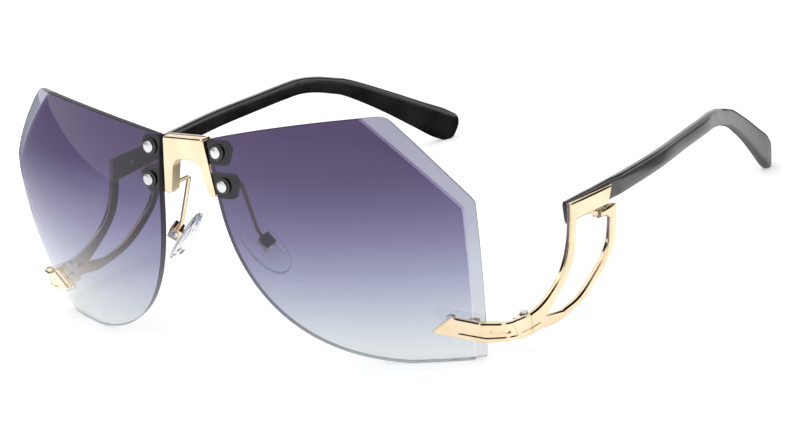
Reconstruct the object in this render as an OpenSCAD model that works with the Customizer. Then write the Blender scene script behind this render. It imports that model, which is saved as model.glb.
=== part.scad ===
// Rimless sunglasses: two oversized six-sided lenses, a gold bridge cover on a
// black bridge plate, clear nose pads on wire arms, gold endpieces, gold
// swan-neck temple fronts that split in two, and black temples.
// X runs towards the wearer's left, the lenses face -Y, and Z points up.
// The glasses stand open on a table at Z = 0.

/* [Lenses] */
// Width of a lens from its inner corner to its outer point
lens_w = 66.7; // [62:0.1:70]
// Height of a lens
lens_h = 64.5; // [61:0.1:68]
// Thickness of a lens
lens_t = 2; // [1.8:0.1:2.2]
// Radius of the front curve of a lens
lens_curve_r = 120; // [112:1:130]
// Gap between the two lenses at their inner corners
lens_gap = 14.8; // [14:0.1:16]
// Distance from a lens's inner corner to its foremost point
lens_apex_in = 3.5; // [2:0.1:6]
// Height of a lens's foremost point
lens_apex_z = 41.6; // [39:0.1:44]
// Bulge of the top edge
lens_top_sag = 1.15; // [0.8:0.05:1.6]
// Bulge of the slanting edge
lens_slant_sag = 0.7; // [0.4:0.05:1.2]
// Bulge of the outer edge
lens_side_sag = 1.5; // [1:0.05:1.8]
// Rounding of the inner corner
lens_inner_round = 1.2; // [0.6:0.1:2]
// Rounding of the upper outer corner
lens_top_round = 4.5; // [2:0.1:7]
// Rounding of the outer point
lens_point_round = 3; // [1:0.1:5]
// Rounding of the lower outer corner
lens_foot_round = 1.4; // [0.6:0.1:2.5]
// Width of the ground bevel at the top of the slanting edge
bevel_top_w = 4.3; // [3.4:0.1:5.2]
// Width of the ground bevel at the outer point
bevel_point_w = 2.9; // [2.2:0.1:3.6]
// Width of the ground bevel along the outer edge
bevel_side_w = 2.7; // [2:0.1:3.4]
// Thickness that the bevel takes off at the rim
bevel_depth = 1; // [0.6:0.05:1.3]

/* [Bridge] */
// Height of the bridge cover
cover_h = 14.7; // [14:0.1:15.4]
// Thickness of the bridge cover
cover_t = 2; // [1.6:0.1:2.4]
// Distance of the cover's top ahead of the lenses' inner corners
cover_ahead = 0.5; // [0.3:0.05:0.7]
// Gap between the cover and the edge of a lens
cover_side_gap = 1; // [0.6:0.05:1.2]
// Distance from the cover's top to the top of its notch
notch_drop = 5.8; // [5:0.1:6.6]
// Width of the notch at its top
notch_w = 8; // [7.2:0.1:8.6]
// Width of a cover foot
foot_w = 2.2; // [2:0.1:2.6]
// Rounding of a cover foot
foot_round = 0.9; // [0.6:0.1:1]
// Rounding of the notch's upper corners
notch_round = 2.6; // [1.6:0.1:3]
// Rounding of the cover's upper corners
cover_round = 0.8; // [0.4:0.1:1.4]
// Forward lean of the bridge, in degrees
bridge_tilt = 1; // [0:0.5:3]
// Thickness of the black bridge plate behind the cover
bridge_plate_t = 0.9; // [0.7:0.05:1.2]
// Distance of the plate's edge inside the cover's edge
plate_inset = 0.2; // [0.1:0.05:0.3]
// Height of a plate ear
ear_h = 6.2; // [5.6:0.1:6.6]
// Height of a plate ear above its screw
ear_top = 2.5; // [2.3:0.1:2.7]
// Reach of a plate ear beyond its screw
ear_reach = 3.6; // [3:0.1:4]
// Rounding of a plate ear
ear_round = 1.2; // [0.8:0.1:1.5]
// Distance of the screws from the lens's inner edge
screw_in = 3; // [2.8:0.1:3.3]
// Distance of the upper screws below the cover's top
screw_drop = 2.9; // [2.6:0.1:3.3]
// Distance between an upper and a lower screw
screw_pitch = 8.3; // [7.8:0.1:9]
// Radius of a bridge screw's shank
screw_r = 0.7; // [0.6:0.05:0.8]
// Radius of a bridge screw's domed head
screw_head_r = 1.45; // [1.3:0.05:1.6]
// Height of a bridge screw's domed head
screw_head_h = 0.8; // [0.6:0.05:1]
// Outer radius of a black ring washer
washer_r = 2.1; // [1.9:0.05:2.3]
// Thickness of a black ring washer
washer_t = 0.45; // [0.3:0.05:0.6]
// Radius of a nut across its corners
nut_r = 1.5; // [1.3:0.05:1.7]
// Thickness of a nut
nut_t = 1.2; // [1:0.05:1.5]
// Length of a screw's end beyond its nut
screw_end = 0.4; // [0.2:0.05:0.6]

/* [Nose pads] */
// Length of a nose pad
pad_l = 16.4; // [15:0.1:17.5]
// Width of a nose pad
pad_w = 7.8; // [7:0.1:8.6]
// Thickness of a nose pad at its middle
pad_t = 2.4; // [2:0.1:2.8]
// Distance of a pad's middle from the middle plane
pad_x = 13; // [12.4:0.1:13.6]
// Distance of a pad's middle behind the lens's inner corner
pad_y = 10; // [9.4:0.1:11]
// Height of a pad's middle
pad_z = 28.2; // [27:0.1:29]
// Slant of a pad seen from the front, in degrees
pad_slant = 45; // [40:1:50]
// Splay of a pad seen from above, in degrees
pad_splay = 28; // [22:1:34]
// Bulge of a pad's face towards the nose
pad_inner_sag = 0.9; // [0.6:0.05:1.2]
// Bulge of a pad's face away from the nose
pad_outer_sag = 0.3; // [0.15:0.05:0.4]
// Width of the pad box
box_w = 3.2; // [2.8:0.1:3.6]
// Height of the pad box
box_h = 3.4; // [3:0.1:3.8]
// Depth of the pad box
box_d = 2.7; // [2.5:0.05:3]
// Distance of the pad box from the pad
box_gap = 0.55; // [0.5:0.05:0.7]
// Thickness of a pad box wall
box_wall = 0.6; // [0.5:0.05:0.7]
// Radius of a pad screw
pad_screw_r = 0.4; // [0.3:0.05:0.45]
// Distance from a pad's outer face to its screw
pad_screw_out = 1.7; // [1.6:0.05:1.8]
// Radius of the eye on a pad's metal core
eye_r = 0.85; // [0.75:0.05:0.9]
// Length of a pad's metal core
core_l = 9; // [7:0.1:10]
// Width of a pad's metal core
core_w = 4.4; // [3.6:0.1:5]
// Thickness of a pad's metal core
core_t = 0.7; // [0.5:0.05:0.9]
// Radius of a pad arm's wire
wire_r = 0.55; // [0.45:0.05:0.65]
// Distance of a pad arm's wire from the middle plane at the bridge
wire_x = 8.6; // [8.4:0.1:8.9]
// Height of a pad arm's wire below the lower screw
wire_drop = 2.4; // [2:0.1:2.6]
// How far a pad arm's wire runs back from the bridge plate
wire_back = 7.4; // [6.8:0.1:8]
// Reach of the bends in a pad arm's wire
wire_bend = 2.4; // [1.5:0.1:2.8]
// Height of a pad arm's last bend over the pad box
wire_off = 1.6; // [1.3:0.1:2]

/* [Endpieces and hinges] */
// Height of an endpiece's middle at its bend
arm_z = 7.4; // [7:0.1:8]
// Distance of an endpiece's outer face beyond the lens's lower outer corner
arm_out = 8; // [7.4:0.1:8.6]
// Height of the endpiece's side band
band_h = 5.2; // [5:0.1:5.6]
// Height of the endpiece on the lens
front_h = 6; // [5.6:0.1:6.4]
// Thickness of the endpiece's side band
band_t = 1.6; // [1.4:0.05:1.8]
// Step between the endpiece on the lens and its side band
band_step = 0.12; // [0.08:0.01:0.2]
// Thickness of the endpiece on the lens
front_t = 1; // [0.8:0.05:1.2]
// Length of the endpiece over the lens, from its point
front_l = 11.2; // [10.4:0.1:12]
// Length of the endpiece's slanting point
point_l = 5.6; // [5:0.1:6.2]
// Fall of the endpiece along the lens
front_fall = 4.4; // [3.8:0.1:4.8]
// Rise of the endpiece's middle from its bend to the edge of the lens
edge_rise = 0.5; // [0.2:0.05:0.7]
// Fall of the endpiece between its bend and the hinge
side_fall = 0.9; // [0.5:0.1:1.1]
// Radius of the endpiece's bend at its outer face
bend_r = 4.2; // [3.6:0.1:4.8]
// Distance from the bend's corner to the hinge
side_l = 8.6; // [8:0.1:9.4]
// Distance between the edge of the lens and the side band
edge_gap = 0.7; // [0.6:0.05:0.9]
// Height of the slot through the endpiece
slot_h = 0.9; // [0.7:0.05:1.1]
// Height of the shallow recess around the slot
recess_h = 2.9; // [2.6:0.1:3.2]
// Depth of the shallow recess and of the side groove
recess_d = 0.3; // [0.15:0.05:0.4]
// Width of the side groove
groove_w = 0.6; // [0.4:0.05:0.8]
// Length of the slot's rear end behind the bend's corner
slot_back = 0.5; // [0:0.1:1]
// Radius of an endpiece stud
stud_r = 0.6; // [0.5:0.05:0.7]
// Distance of the outer stud from the lens's lower outer corner
stud_in = 0.6; // [0.4:0.05:0.8]
// Distance between the two studs
stud_pitch = 4.2; // [3.8:0.1:4.5]
// Radius of a stud nut across its corners
stud_nut_r = 1.3; // [1.1:0.05:1.4]
// Thickness of a stud nut
stud_nut_t = 0.9; // [0.7:0.05:1.2]
// Length of the clear backing plate
backing_l = 9; // [8.4:0.1:9.4]
// Height of the clear backing plate
backing_h = 7.6; // [7:0.1:8.2]
// Thickness of the clear backing plate
backing_t = 0.9; // [0.7:0.05:1.1]
// Radius of the hinge screw
hinge_pin_r = 0.6; // [0.5:0.05:0.7]
// Radius of a hinge knuckle
knuckle_r = 1.3; // [1.2:0.05:1.4]
// Radius of the hinge screw's head
hinge_head_r = 1.05; // [0.9:0.05:1.15]
// Height of the hinge screw's head
hinge_head_h = 0.6; // [0.4:0.05:0.8]
// Distance of the hinge axis inside the arm's outer face
hinge_in = 2.2; // [2.15:0.05:2.25]
// Length of a hinge leaf
leaf_l = 3.4; // [3:0.1:3.8]
// Distance of a hinge leaf's inner face from the hinge axis
leaf_in = 0.7; // [0.5:0.05:0.9]
// How far a hinge leaf reaches into its band
leaf_bite = 0.3; // [0.2:0.05:0.4]

/* [Temples] */
// Length of the gold temple front from the hinge
frame_l = 40.2; // [39:0.1:41.5]
// Height of the gold temple front above the middle of the seam
frame_h = 23.5; // [22.8:0.1:24.2]
// Thickness of the gold temple front
frame_t = 1.45; // [1.3:0.05:1.6]
// Thickness of the gold plate on the temple
plate_t = 0.8; // [0.7:0.05:0.95]
// Length of the fold under the temple
hook_l = 7.2; // [6.6:0.1:7.6]
// Thickness of the fold under the temple
hook_t = 1; // [0.8:0.05:1.1]
// Width of the fold under the temple
hook_w = 2; // [1.6:0.1:2.3]
// Distance of the fold below the top of the gold temple front
hook_drop = 5.8; // [5.7:0.1:6.1]
// Width of a black temple
temple_w = 2.2; // [2:0.1:2.5]
// Distance from the hinge to the front of a black temple
temple_start_l = 22.2; // [21.9:0.1:22.6]
// Height of a black temple at its front
temple_front_h = 5.9; // [5.7:0.1:6.1]
// Height of a black temple's top above the gold plate
temple_up = 0.6; // [0.4:0.05:0.8]
// Rise and dip of a black temple's middle ahead of the ear bend
temple_rise = 0.5; // [0:0.1:0.8]
// Height of a black temple ahead of the ear bend
temple_mid_h = 3; // [2.8:0.1:3.3]
// Height of the paddle at a temple's tip
paddle_h = 8.8; // [8:0.1:9.4]
// Thickness of the paddle at a temple's tip
paddle_w = 3; // [2.8:0.1:3.3]
// Distance from the hinge to the ear bend
temple_bend_l = 94; // [91:0.5:97]
// Length of the tip behind the ear bend, seen from the side
tip_l = 45; // [43:0.5:47]
// Height of the middle of a tip's end
tip_z = 3.4; // [3.2:0.1:3.6]
// Inward drift of the tip
tip_in = 20; // [17:0.5:22]
// Radius of a small temple screw
rivet_r = 0.5; // [0.4:0.05:0.6]
// Radius of a small temple screw's head
rivet_head_r = 0.95; // [0.8:0.05:1.1]
// Height of a small temple screw's head
rivet_head_h = 0.35; // [0.25:0.05:0.45]
// Radius of the head of a screw under the fold
hook_head_r = 0.8; // [0.7:0.05:0.9]
// Height of the head of a screw under the fold
hook_head_h = 0.8; // [0.6:0.05:1]

/* [Clearances] */
// Radial clearance of a screw in its hole
screw_fit = 0.05; // [0.03:0.01:0.08]
// Gap between the moving faces of a hinge
hinge_gap = 0.12; // [0.08:0.01:0.18]
// Gap between faces that lie on each other
seat_gap = 0.05; // [0.02:0.01:0.08]

/* [Hidden] */
$fn = 48;
lens_fn = 360;
// Overrun of a cutting shape past the face that it cuts
overrun = 1;

// Lens corners, from the inner side and from the bottom
inner_top_share = [0, 0.906];
outer_top_share = [0.724, 1];
outer_point_share = [1, 0.652];
lens_foot_share = [0.9, -0.006];
flat_end_share = [0.773, -0.006];
nose_top_share = [0.034, 0.636];
// Pulls of the nose curve at its lower and upper end, of the lens's width
nose_pull_share = [0.444, 0.414];
edge_steps = 14;
round_steps = 6;
curve_steps = 26;
pad_steps = 36;

// Edges of the gold temple front: length from the hinge, height over the seam
front_outer_share = [[0.105, 0.135], [0.222, 0.206], [0.38, 0.37], [0.473, 0.604], [0.514, 0.821], [0.539, 1]];
front_inner_share = [[0.58, 0.804], [0.538, 0.553], [0.468, 0.353], [0.348, 0.187], [0.162, 0]];
rear_inner_share = [[0.325, -0.043], [0.512, 0.009], [0.717, 0.187], [0.832, 0.319], [0.887, 0.455], [0.92, 0.634]];
rear_outer_share = [[1, 0.715], [0.95, 0.417], [0.892, 0.285], [0.762, 0.115], [0.545, -0.064],
                    [0.267, -0.14], [0.115, -0.111]];
// Rear corners of the gold plate on the temple
plate_share = [[0.98, 0.966], [0.915, 0.774]];
// Corners of the rear arm's head
head_share = [[0.887, 0.668], [0.812, 0.685], [0.832, 0.753], [0.995, 0.749]];
contour_steps = 4;

// Stations of a temple ahead of the ear bend: length, rise, taper, inward drift
temple_front_share = [[0, 0, 0, 0], [0.095, -0.4, 0.14, 0], [0.178, -0.6, 0.31, 0], [0.373, 0, 0.6, 0],
                      [0.568, 0.6, 0.79, 0.03], [0.763, 0.9, 0.97, 0.13], [0.93, 0.9, 1, 0.215], [1, 0.5, 1, 0.27]];
// Stations of a tip: length, fall, growth, inward drift
tip_share = [[0.11, 0.05, 0.02, 0.33], [0.22, 0.12, 0.12, 0.41], [0.335, 0.21, 0.27, 0.49], [0.555, 0.464, 0.53, 0.65],
             [0.78, 0.754, 0.82, 0.83], [0.9, 0.91, 0.96, 0.93], [0.97, 1, 0.88, 1]];
temple_steps = 3;
temple_sides = 20;
// Squareness of a temple's section
temple_power = 4;
// Length of a temple's rounded front and tip as shares of the height there
temple_end_share = [0.1, 0.36];
end_angles = [3, 12, 30, 50, 70];

gold = [0.93, 0.8, 0.58];
black = [0.05, 0.05, 0.06];
silver = [0.8, 0.8, 0.82];
lens_tint = [0.55, 0.5, 0.68, 0.6];
clear = [0.9, 0.92, 0.95, 0.5];

function unit(v) = v / norm(v);
function left_of(v) = [-v.y, v.x];
function turn(v, a) = [v.x * cos(a) - v.y * sin(a), v.x * sin(a) + v.y * cos(a)];
function flat(lists) = [for (l = lists) for (p = l) p];
function reverse(l) = [for (i = [len(l) - 1:-1:0]) l[i]];
// Half the angle that an arc of this chord and bulge turns through
function half_turn(chord, sag) = 2 * atan2(2 * sag, chord);
// Points between two ends of an arc; its bulge lies to the left
function arc_points(a, b, sag, n) = sag == 0 ? [] :
  let (f = half_turn(norm(b - a), sag),
       r = norm(b - a) / 2 / sin(f),
       u = unit(b - a))
  [for (i = [1:n - 1]) let (t = f * (2 * i / n - 1))
    a + u * r * (sin(t) + sin(f)) + left_of(u) * r * (cos(t) - cos(f))];
// A corner's run-in and run-out points for its rounding
function corner_ends(c, i) =
  let (n = len(c),
       p = [c[i].x, c[i].y],
       before = c[(i + n - 1) % n],
       after = c[(i + 1) % n],
       gap_in = p - [before.x, before.y],
       gap_out = [after.x, after.y] - p,
       d_in = turn(unit(gap_in), -half_turn(norm(gap_in), before[3])),
       d_out = turn(unit(gap_out), half_turn(norm(gap_out), c[i][3])),
       bend = atan2(cross(d_in, d_out), d_in * d_out),
       reach = c[i][2] * tan(abs(bend) / 2))
  [p - d_in * reach, p + d_out * reach, bend];
// Closed outline through corners [x, y, rounding, bulge of the edge that leaves]
function outline(c, n_edge, n_round) =
  let (n = len(c),
       e = [for (i = [0:n - 1]) corner_ends(c, i)])
  flat([for (i = [0:n - 1])
    let (k = (i + 1) % n,
         chord = norm(e[i][1] - e[i][0]),
         sag = -sign(e[i][2]) * chord / 2 * tan(abs(e[i][2]) / 4),
         whole = norm([c[k].x - c[i].x, c[k].y - c[i].y]),
         left = norm(e[k][0] - e[i][1]))
    concat(c[i][2] == 0 ? [e[i][0]] : concat([e[i][0]], arc_points(e[i][0], e[i][1], sag, n_round), [e[i][1]]),
           arc_points(e[i][1], e[k][0], c[i][3] * (left / whole) ^ 2, n_edge))]);
function bezier(a, b, c, d, t) =
  a * (1 - t) ^ 3 + 3 * b * t * (1 - t) ^ 2 + 3 * c * t ^ 2 * (1 - t) + d * t ^ 3;
// Smooth curve through points, n steps from each to the next
function smooth(p, n) =
  let (last = len(p) - 1)
  concat(flat([for (i = [0:last - 1])
    let (a = i == 0 ? 2 * p[0] - p[1] : p[i - 1],
         d = i == last - 1 ? 2 * p[last] - p[last - 1] : p[i + 2])
    [for (k = [0:n - 1]) let (t = k / n)
      ((2 * p[i]) + (p[i + 1] - a) * t + (2 * a - 5 * p[i] + 4 * p[i + 1] - d) * t ^ 2
        + (3 * p[i] - a - 3 * p[i + 1] + d) * t ^ 3) / 2]]), [p[last]]);

// Shape seen from the front, drawn in X and Z
module front_view(from, to) {
  translate([0, to, 0])
    rotate([90, 0, 0])
      linear_extrude(to - from)
        children();
}

// Shape seen from the side, drawn in Y and Z
module side_view(from, to) {
  translate([from, 0, 0])
    rotate([90, 0, 90])
      linear_extrude(to - from)
        children();
}

// Body through closed rings of points
module skin(rings) {
  n = len(rings[0]);
  last = len(rings) - 1;
  sides = flat([for (i = [0:last - 1]) for (j = [0:n - 1])
    let (a = i * n + j,
         b = i * n + (j + 1) % n)
    [[a, b, a + n], [b, b + n, a + n]]]);
  front_cap = [[for (j = [n - 1:-1:0]) j]];
  back_cap = [[for (j = [0:n - 1]) last * n + j]];
  polyhedron(flat(rings), concat(sides, front_cap, back_cap), convexity = 6);
}

// Round wire along a path
module wire(path, r, sides, side_way) {
  last = len(path) - 1;
  skin([for (i = [0:last])
    let (t = unit(path[min(i + 1, last)] - path[max(i - 1, 0)]),
         u = unit(cross(t, side_way)),
         v = cross(t, u))
    [for (k = [0:sides - 1]) path[i] + r * (u * cos(360 * k / sides) + v * sin(360 * k / sides))]]);
}

// Path through corners with each inner corner rounded
function bent_path(p, reach, n) =
  let (last = len(p) - 1)
  concat([p[0]], flat([for (i = [1:last - 1])
    let (a = p[i] + unit(p[i - 1] - p[i]) * reach,
         b = p[i] + unit(p[i + 1] - p[i]) * reach)
    [for (k = [0:n]) let (t = k / n) a * (1 - t) ^ 2 + 2 * p[i] * t * (1 - t) + b * t ^ 2]]), [p[last]]);

// Low dome with its flat side at Z = 0
module dome(r, h) {
  ball = (r ^ 2 + h ^ 2) / h / 2;
  intersection() {
    translate([0, 0, h - ball])
      sphere(ball);
    cylinder(h = h + overrun, r = ball + overrun);
  }
}

module both_sides() {
  children();
  mirror([1, 0, 0])
    children();
}

// Lenses

half_gap = lens_gap / 2;
function lens_point(s) = [half_gap + lens_w * s.x, lens_h * s.y];
inner_top = lens_point(inner_top_share);
outer_top = lens_point(outer_top_share);
outer_point = lens_point(outer_point_share);
lens_foot = lens_point(lens_foot_share);
flat_end = lens_point(flat_end_share);
nose_top = lens_point(nose_top_share);
apex_x = half_gap + lens_apex_in;
lens_centre = [apex_x, sqrt(lens_curve_r ^ 2 - lens_apex_in ^ 2 - (inner_top.y - lens_apex_z) ^ 2), lens_apex_z];

// Point of a lens's front face and its outward direction there
function on_front(p) =
  [p.x, lens_centre.y - sqrt(lens_curve_r ^ 2 - (p.x - apex_x) ^ 2 - (p.y - lens_apex_z) ^ 2), p.y];
function lens_normal(p) = (on_front(p) - lens_centre) / lens_curve_r;

// Frame on a lens's front face with Z pointing out of the lens
module on_lens(p) {
  n = lens_normal(p);
  translate(lens_centre)
    rotate([0, acos(n.z), atan2(n.y, n.x)])
      translate([0, 0, lens_curve_r])
        children();
}

// Layer that follows the front curve, from one height over it to another
module shell(low, high) {
  translate(lens_centre)
    difference() {
      sphere(lens_curve_r + high, $fn = lens_fn);
      sphere(lens_curve_r + low, $fn = lens_fn);
    }
}

// Everything inside the front curve, lowered by a depth
module ball(depth) {
  translate(lens_centre)
    sphere(lens_curve_r - depth, $fn = lens_fn);
}

module layer(low, high) {
  intersection() {
    front_view(lens_centre.y - lens_curve_r - high - overrun, lens_centre.y)
      children();
    shell(low, high);
  }
}

function lens_outline() =
  let (pull = lens_w * nose_pull_share,
       down = unit(nose_top - inner_top))
  concat(outline([[nose_top.x, nose_top.y, 0, 0],
                  [inner_top.x, inner_top.y, lens_inner_round, lens_top_sag],
                  [outer_top.x, outer_top.y, lens_top_round, lens_slant_sag],
                  [outer_point.x, outer_point.y, lens_point_round, lens_side_sag],
                  [lens_foot.x, lens_foot.y, lens_foot_round, 0],
                  [flat_end.x, flat_end.y, 0, 0]], edge_steps, round_steps),
         [for (i = [1:curve_steps - 1])
           bezier(flat_end, flat_end - [pull[0], 0], nose_top + down * pull[1], nose_top, i / curve_steps)]);

// Body inside the lens outline whose sides all run to the centre of the front curve
module lens_pyramid() {
  points = lens_outline();
  n = len(points);
  far = 1.2 * lens_curve_r;
  polyhedron([lens_centre, for (p = points)
               lens_centre + (on_front(p) - lens_centre) * far / (lens_centre.y - on_front(p).y)],
             [[for (i = [1:n]) i], for (i = [1:n]) [0, i % n + 1, i]],
             convexity = 4);
}

// Inner line of the bevel in the front view
slant_way = unit(outer_point - outer_top);
side_way = unit(lens_foot - outer_point);
bevel_top = outer_top - left_of(slant_way) * bevel_top_w;
bevel_foot = lens_foot - left_of(side_way) * bevel_side_w;
point_on_side = outer_point - left_of(side_way) * bevel_side_w;
point_slide = (bevel_point_w - (outer_point - point_on_side) * left_of(slant_way)) / -(side_way * left_of(slant_way));
bevel_corner = point_on_side + side_way * point_slide;

// Body that grinds the bevel outside a line of the front face
module bevel_cut(a, b, sag, width) {
  m = (a + b) / 2 + left_of(unit(b - a)) * sag;
  across = cross(on_front(m) - on_front(a), on_front(b) - on_front(a));
  n = across / norm(across) * sign(across.x);
  d = n * (on_front(a) - lens_centre);
  ring_r = sqrt(lens_curve_r ^ 2 - d ^ 2);
  slope = tan(atan2(-d, ring_r) - atan2(bevel_depth, width));
  reach = 3 * bevel_top_w;
  translate(lens_centre)
    rotate([0, acos(n.z), atan2(n.y, n.x)])
      translate([0, 0, d])
        difference() {
          translate([0, 0, -overrun])
            cylinder(h = reach, r = lens_curve_r + overrun, $fn = lens_fn);
          translate([0, 0, -2 * overrun])
            cylinder(h = reach + 2 * overrun, r1 = ring_r - 2 * overrun * slope, r2 = ring_r + reach * slope,
                     $fn = lens_fn);
        }
}

module lens() {
  color(lens_tint)
    difference() {
      intersection() {
        lens_pyramid();
        shell(-lens_t, 0);
      }
      translate([0, 0, -lens_h])
        cube([lens_w * 2, lens_centre.y, lens_h]);
      bevel_cut(bevel_top, bevel_corner, lens_slant_sag, bevel_top_w);
      bevel_cut(bevel_corner, bevel_foot, lens_side_sag, bevel_side_w);
      for (p = screw_points)
        through_lens(p, screw_r + screw_fit);
      for (p = stud_points)
        through_lens(p, stud_r + screw_fit);
    }
}

module through_lens(p, r) {
  on_lens(p)
    translate([0, 0, -lens_t - screw_deep])
      cylinder(h = lens_t + screw_deep + overrun, r = r);
}

// Bridge

side_lean = (nose_top.x - inner_top.x) / (inner_top.y - nose_top.y);
bridge_back = cover_t + bridge_plate_t;
screw_deep = bridge_back + lens_t;
upper_screw_z = inner_top.y - screw_drop;
lower_screw_z = upper_screw_z - screw_pitch;
function inner_edge_x(z) = half_gap + side_lean * (inner_top.y - z);
screw_points = [[inner_edge_x(upper_screw_z) + screw_in, upper_screw_z],
                [inner_edge_x(lower_screw_z) + screw_in, lower_screw_z]];
bridge_origin = [0, -cover_ahead, inner_top.y];
back_way = [0, cos(bridge_tilt), -sin(bridge_tilt)];

module at_bridge() {
  translate(bridge_origin)
    rotate([-bridge_tilt, 0, 0])
      children();
}

// Outline of the cover, drawn in by an inset
module cover_outline(inset) {
  top = half_gap - cover_side_gap - inset;
  foot = top + side_lean * cover_h;
  notch = notch_w / 2 + inset;
  inner = foot - foot_w + 2 * inset;
  right = [[top, 0, cover_round, 0],
           [foot, -cover_h, foot_round, 0],
           [inner, -cover_h, foot_round, 0],
           [notch, inset - notch_drop, notch_round, 0]];
  left = [for (c = reverse(right)) [-c.x, c.y, c[2], 0]];
  polygon(outline(concat(right, left), edge_steps, round_steps));
}

module bridge_cover() {
  color(gold)
    at_bridge()
      front_view(0, cover_t)
        cover_outline(0);
}

// Ear of the bridge plate behind a lens, round one screw
module ear(p) {
  top = p.y - inner_top.y + ear_top;
  root = inner_edge_x(p.y) - ear_h / 3;
  intersection() {
    at_bridge()
      front_view(-lens_t, bridge_back)
        polygon(outline([[root, top, 0, 0],
                         [p.x + ear_reach * 2 / 3, top, ear_round, 0],
                         [p.x + ear_reach, top - ear_h / 3, ear_round, 0],
                         [p.x + ear_reach / 2, top - ear_h, ear_round, 0],
                         [root, top - ear_h, 0, 0]], edge_steps, round_steps));
    ball(lens_t + seat_gap);
  }
}

module bridge_plate() {
  color(black)
    difference() {
      union() {
        at_bridge()
          front_view(cover_t + seat_gap, bridge_back)
            cover_outline(plate_inset);
        both_sides()
          for (p = screw_points)
            ear(p);
      }
      // Room for the cover between the ears
      at_bridge()
        front_view(-lens_t, cover_t + seat_gap)
          cover_outline(-seat_gap);
      both_sides()
        for (p = screw_points)
          through_lens(p, screw_r + screw_fit);
    }
}

// Depth of the plate's back below the lens front along a screw
function back_depth(p) =
  (bridge_back - (on_front(p) - bridge_origin) * back_way) / -(lens_normal(p) * back_way);
// Room that a nut needs because its screw leans against the plate
function nut_room(p) = seat_gap + nut_r * tan(acos(-lens_normal(p) * back_way));
function nut_depth(p) = back_depth(p) + nut_room(p) + nut_t;

module bridge_screws() {
  color(silver)
    both_sides()
      for (p = screw_points)
        on_lens(p) {
          translate([0, 0, washer_t + 2 * seat_gap])
            dome(screw_head_r, screw_head_h);
          translate([0, 0, -nut_depth(p) - screw_end])
            cylinder(h = nut_depth(p) + screw_end + washer_t + 3 * seat_gap, r = screw_r);
        }
}

module bridge_washers() {
  color(black)
    both_sides()
      for (p = screw_points)
        on_lens(p)
          translate([0, 0, seat_gap])
            difference() {
              cylinder(h = washer_t, r = washer_r);
              translate([0, 0, -overrun])
                cylinder(h = washer_t + 2 * overrun, r = screw_r + screw_fit);
            }
}

module bridge_nuts() {
  color(silver)
    both_sides()
      for (p = screw_points)
        on_lens(p)
          translate([0, 0, -nut_depth(p)])
            difference() {
              cylinder(h = nut_t, r = nut_r, $fn = 6);
              translate([0, 0, -overrun])
                cylinder(h = nut_t + 2 * overrun, r = screw_r + screw_fit);
            }
}

// Nose pads

pad_origin = [pad_x, pad_y, pad_z];
pad_face = pad_t / 2;
box_near = pad_face + box_gap;
box_far = box_near + box_d;
box_middle = (box_near + box_far) / 2;
pad_screw_x = pad_face + pad_screw_out;
tab_w = box_w - 2 * box_wall - 2 * hinge_gap;

// Pad frame: X points away from the nose, Y across the pad, Z along it
module at_pad() {
  translate(pad_origin)
    rotate([0, -pad_slant, 0])
      rotate([0, 0, -pad_splay])
        children();
}

function from_pad(v) =
  let (w = [v.x * cos(pad_splay) + v.y * sin(pad_splay), v.y * cos(pad_splay) - v.x * sin(pad_splay), v.z])
  pad_origin + [w.x * cos(pad_slant) - w.z * sin(pad_slant), w.y, w.x * sin(pad_slant) + w.z * cos(pad_slant)];

// Bar with its middle at the pad frame's axis, from one X to another
module pad_bar(from, to, w, h) {
  translate([from, -w / 2, -h / 2])
    cube([to - from, w, h]);
}

module nose_arm() {
  wire_z = lower_screw_z - wire_drop;
  start = [wire_x,
           bridge_origin.y + (bridge_back + (wire_z - bridge_origin.z) * sin(bridge_tilt)) / cos(bridge_tilt),
           wire_z];
  path = bent_path([start,
                    start + back_way * wire_back,
                    from_pad([box_middle, 0, box_h / 2 + wire_off]),
                    from_pad([box_middle, 0, box_h / 2])], wire_bend / 2, round_steps);
  color(gold)
    wire(path, wire_r, round_steps * 2, [1, 0, 0]);
}

module pad_box() {
  color(gold)
    at_pad()
      difference() {
        pad_bar(box_near, box_far, box_w, box_h);
        translate([0, 0, -box_wall - overrun])
          pad_bar(box_near - overrun, box_far - box_wall, box_w - 2 * box_wall, box_h + 2 * overrun);
        pad_screw_hole();
      }
}

module pad_screw_hole() {
  translate([pad_screw_x, box_w / 2 + overrun, 0])
    rotate([90, 0, 0])
      cylinder(h = box_w + 2 * overrun, r = pad_screw_r + screw_fit);
}

module pad_screw() {
  color(silver)
    at_pad()
      translate([pad_screw_x, -box_w / 2, 0])
        rotate([90, 0, 0]) {
          translate([0, 0, -box_w])
            cylinder(h = box_w + seat_gap, r = pad_screw_r);
          translate([0, 0, seat_gap])
            dome(eye_r, box_wall / 2);
        }
}

module core_shape(extra) {
  pad_bar(-core_t / 2 - extra, core_t / 2 + extra, core_w + 2 * extra, core_l + 2 * extra);
  pad_bar(0, pad_screw_x, tab_w + 2 * extra, 2 * eye_r + 2 * extra);
}

module pad_core() {
  color(silver)
    at_pad()
      difference() {
        union() {
          core_shape(0);
          translate([pad_screw_x, tab_w / 2, 0])
            rotate([90, 0, 0])
              cylinder(h = tab_w, r = eye_r);
        }
        pad_screw_hole();
      }
}

// Ball that gives a pad face its bulge over the pad's length
module pad_ball(sag, way) {
  r = ((pad_l / 2) ^ 2 + sag ^ 2) / sag / 2;
  translate([way * (pad_face - r), 0, 0])
    sphere(r, $fn = lens_fn);
}

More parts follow.
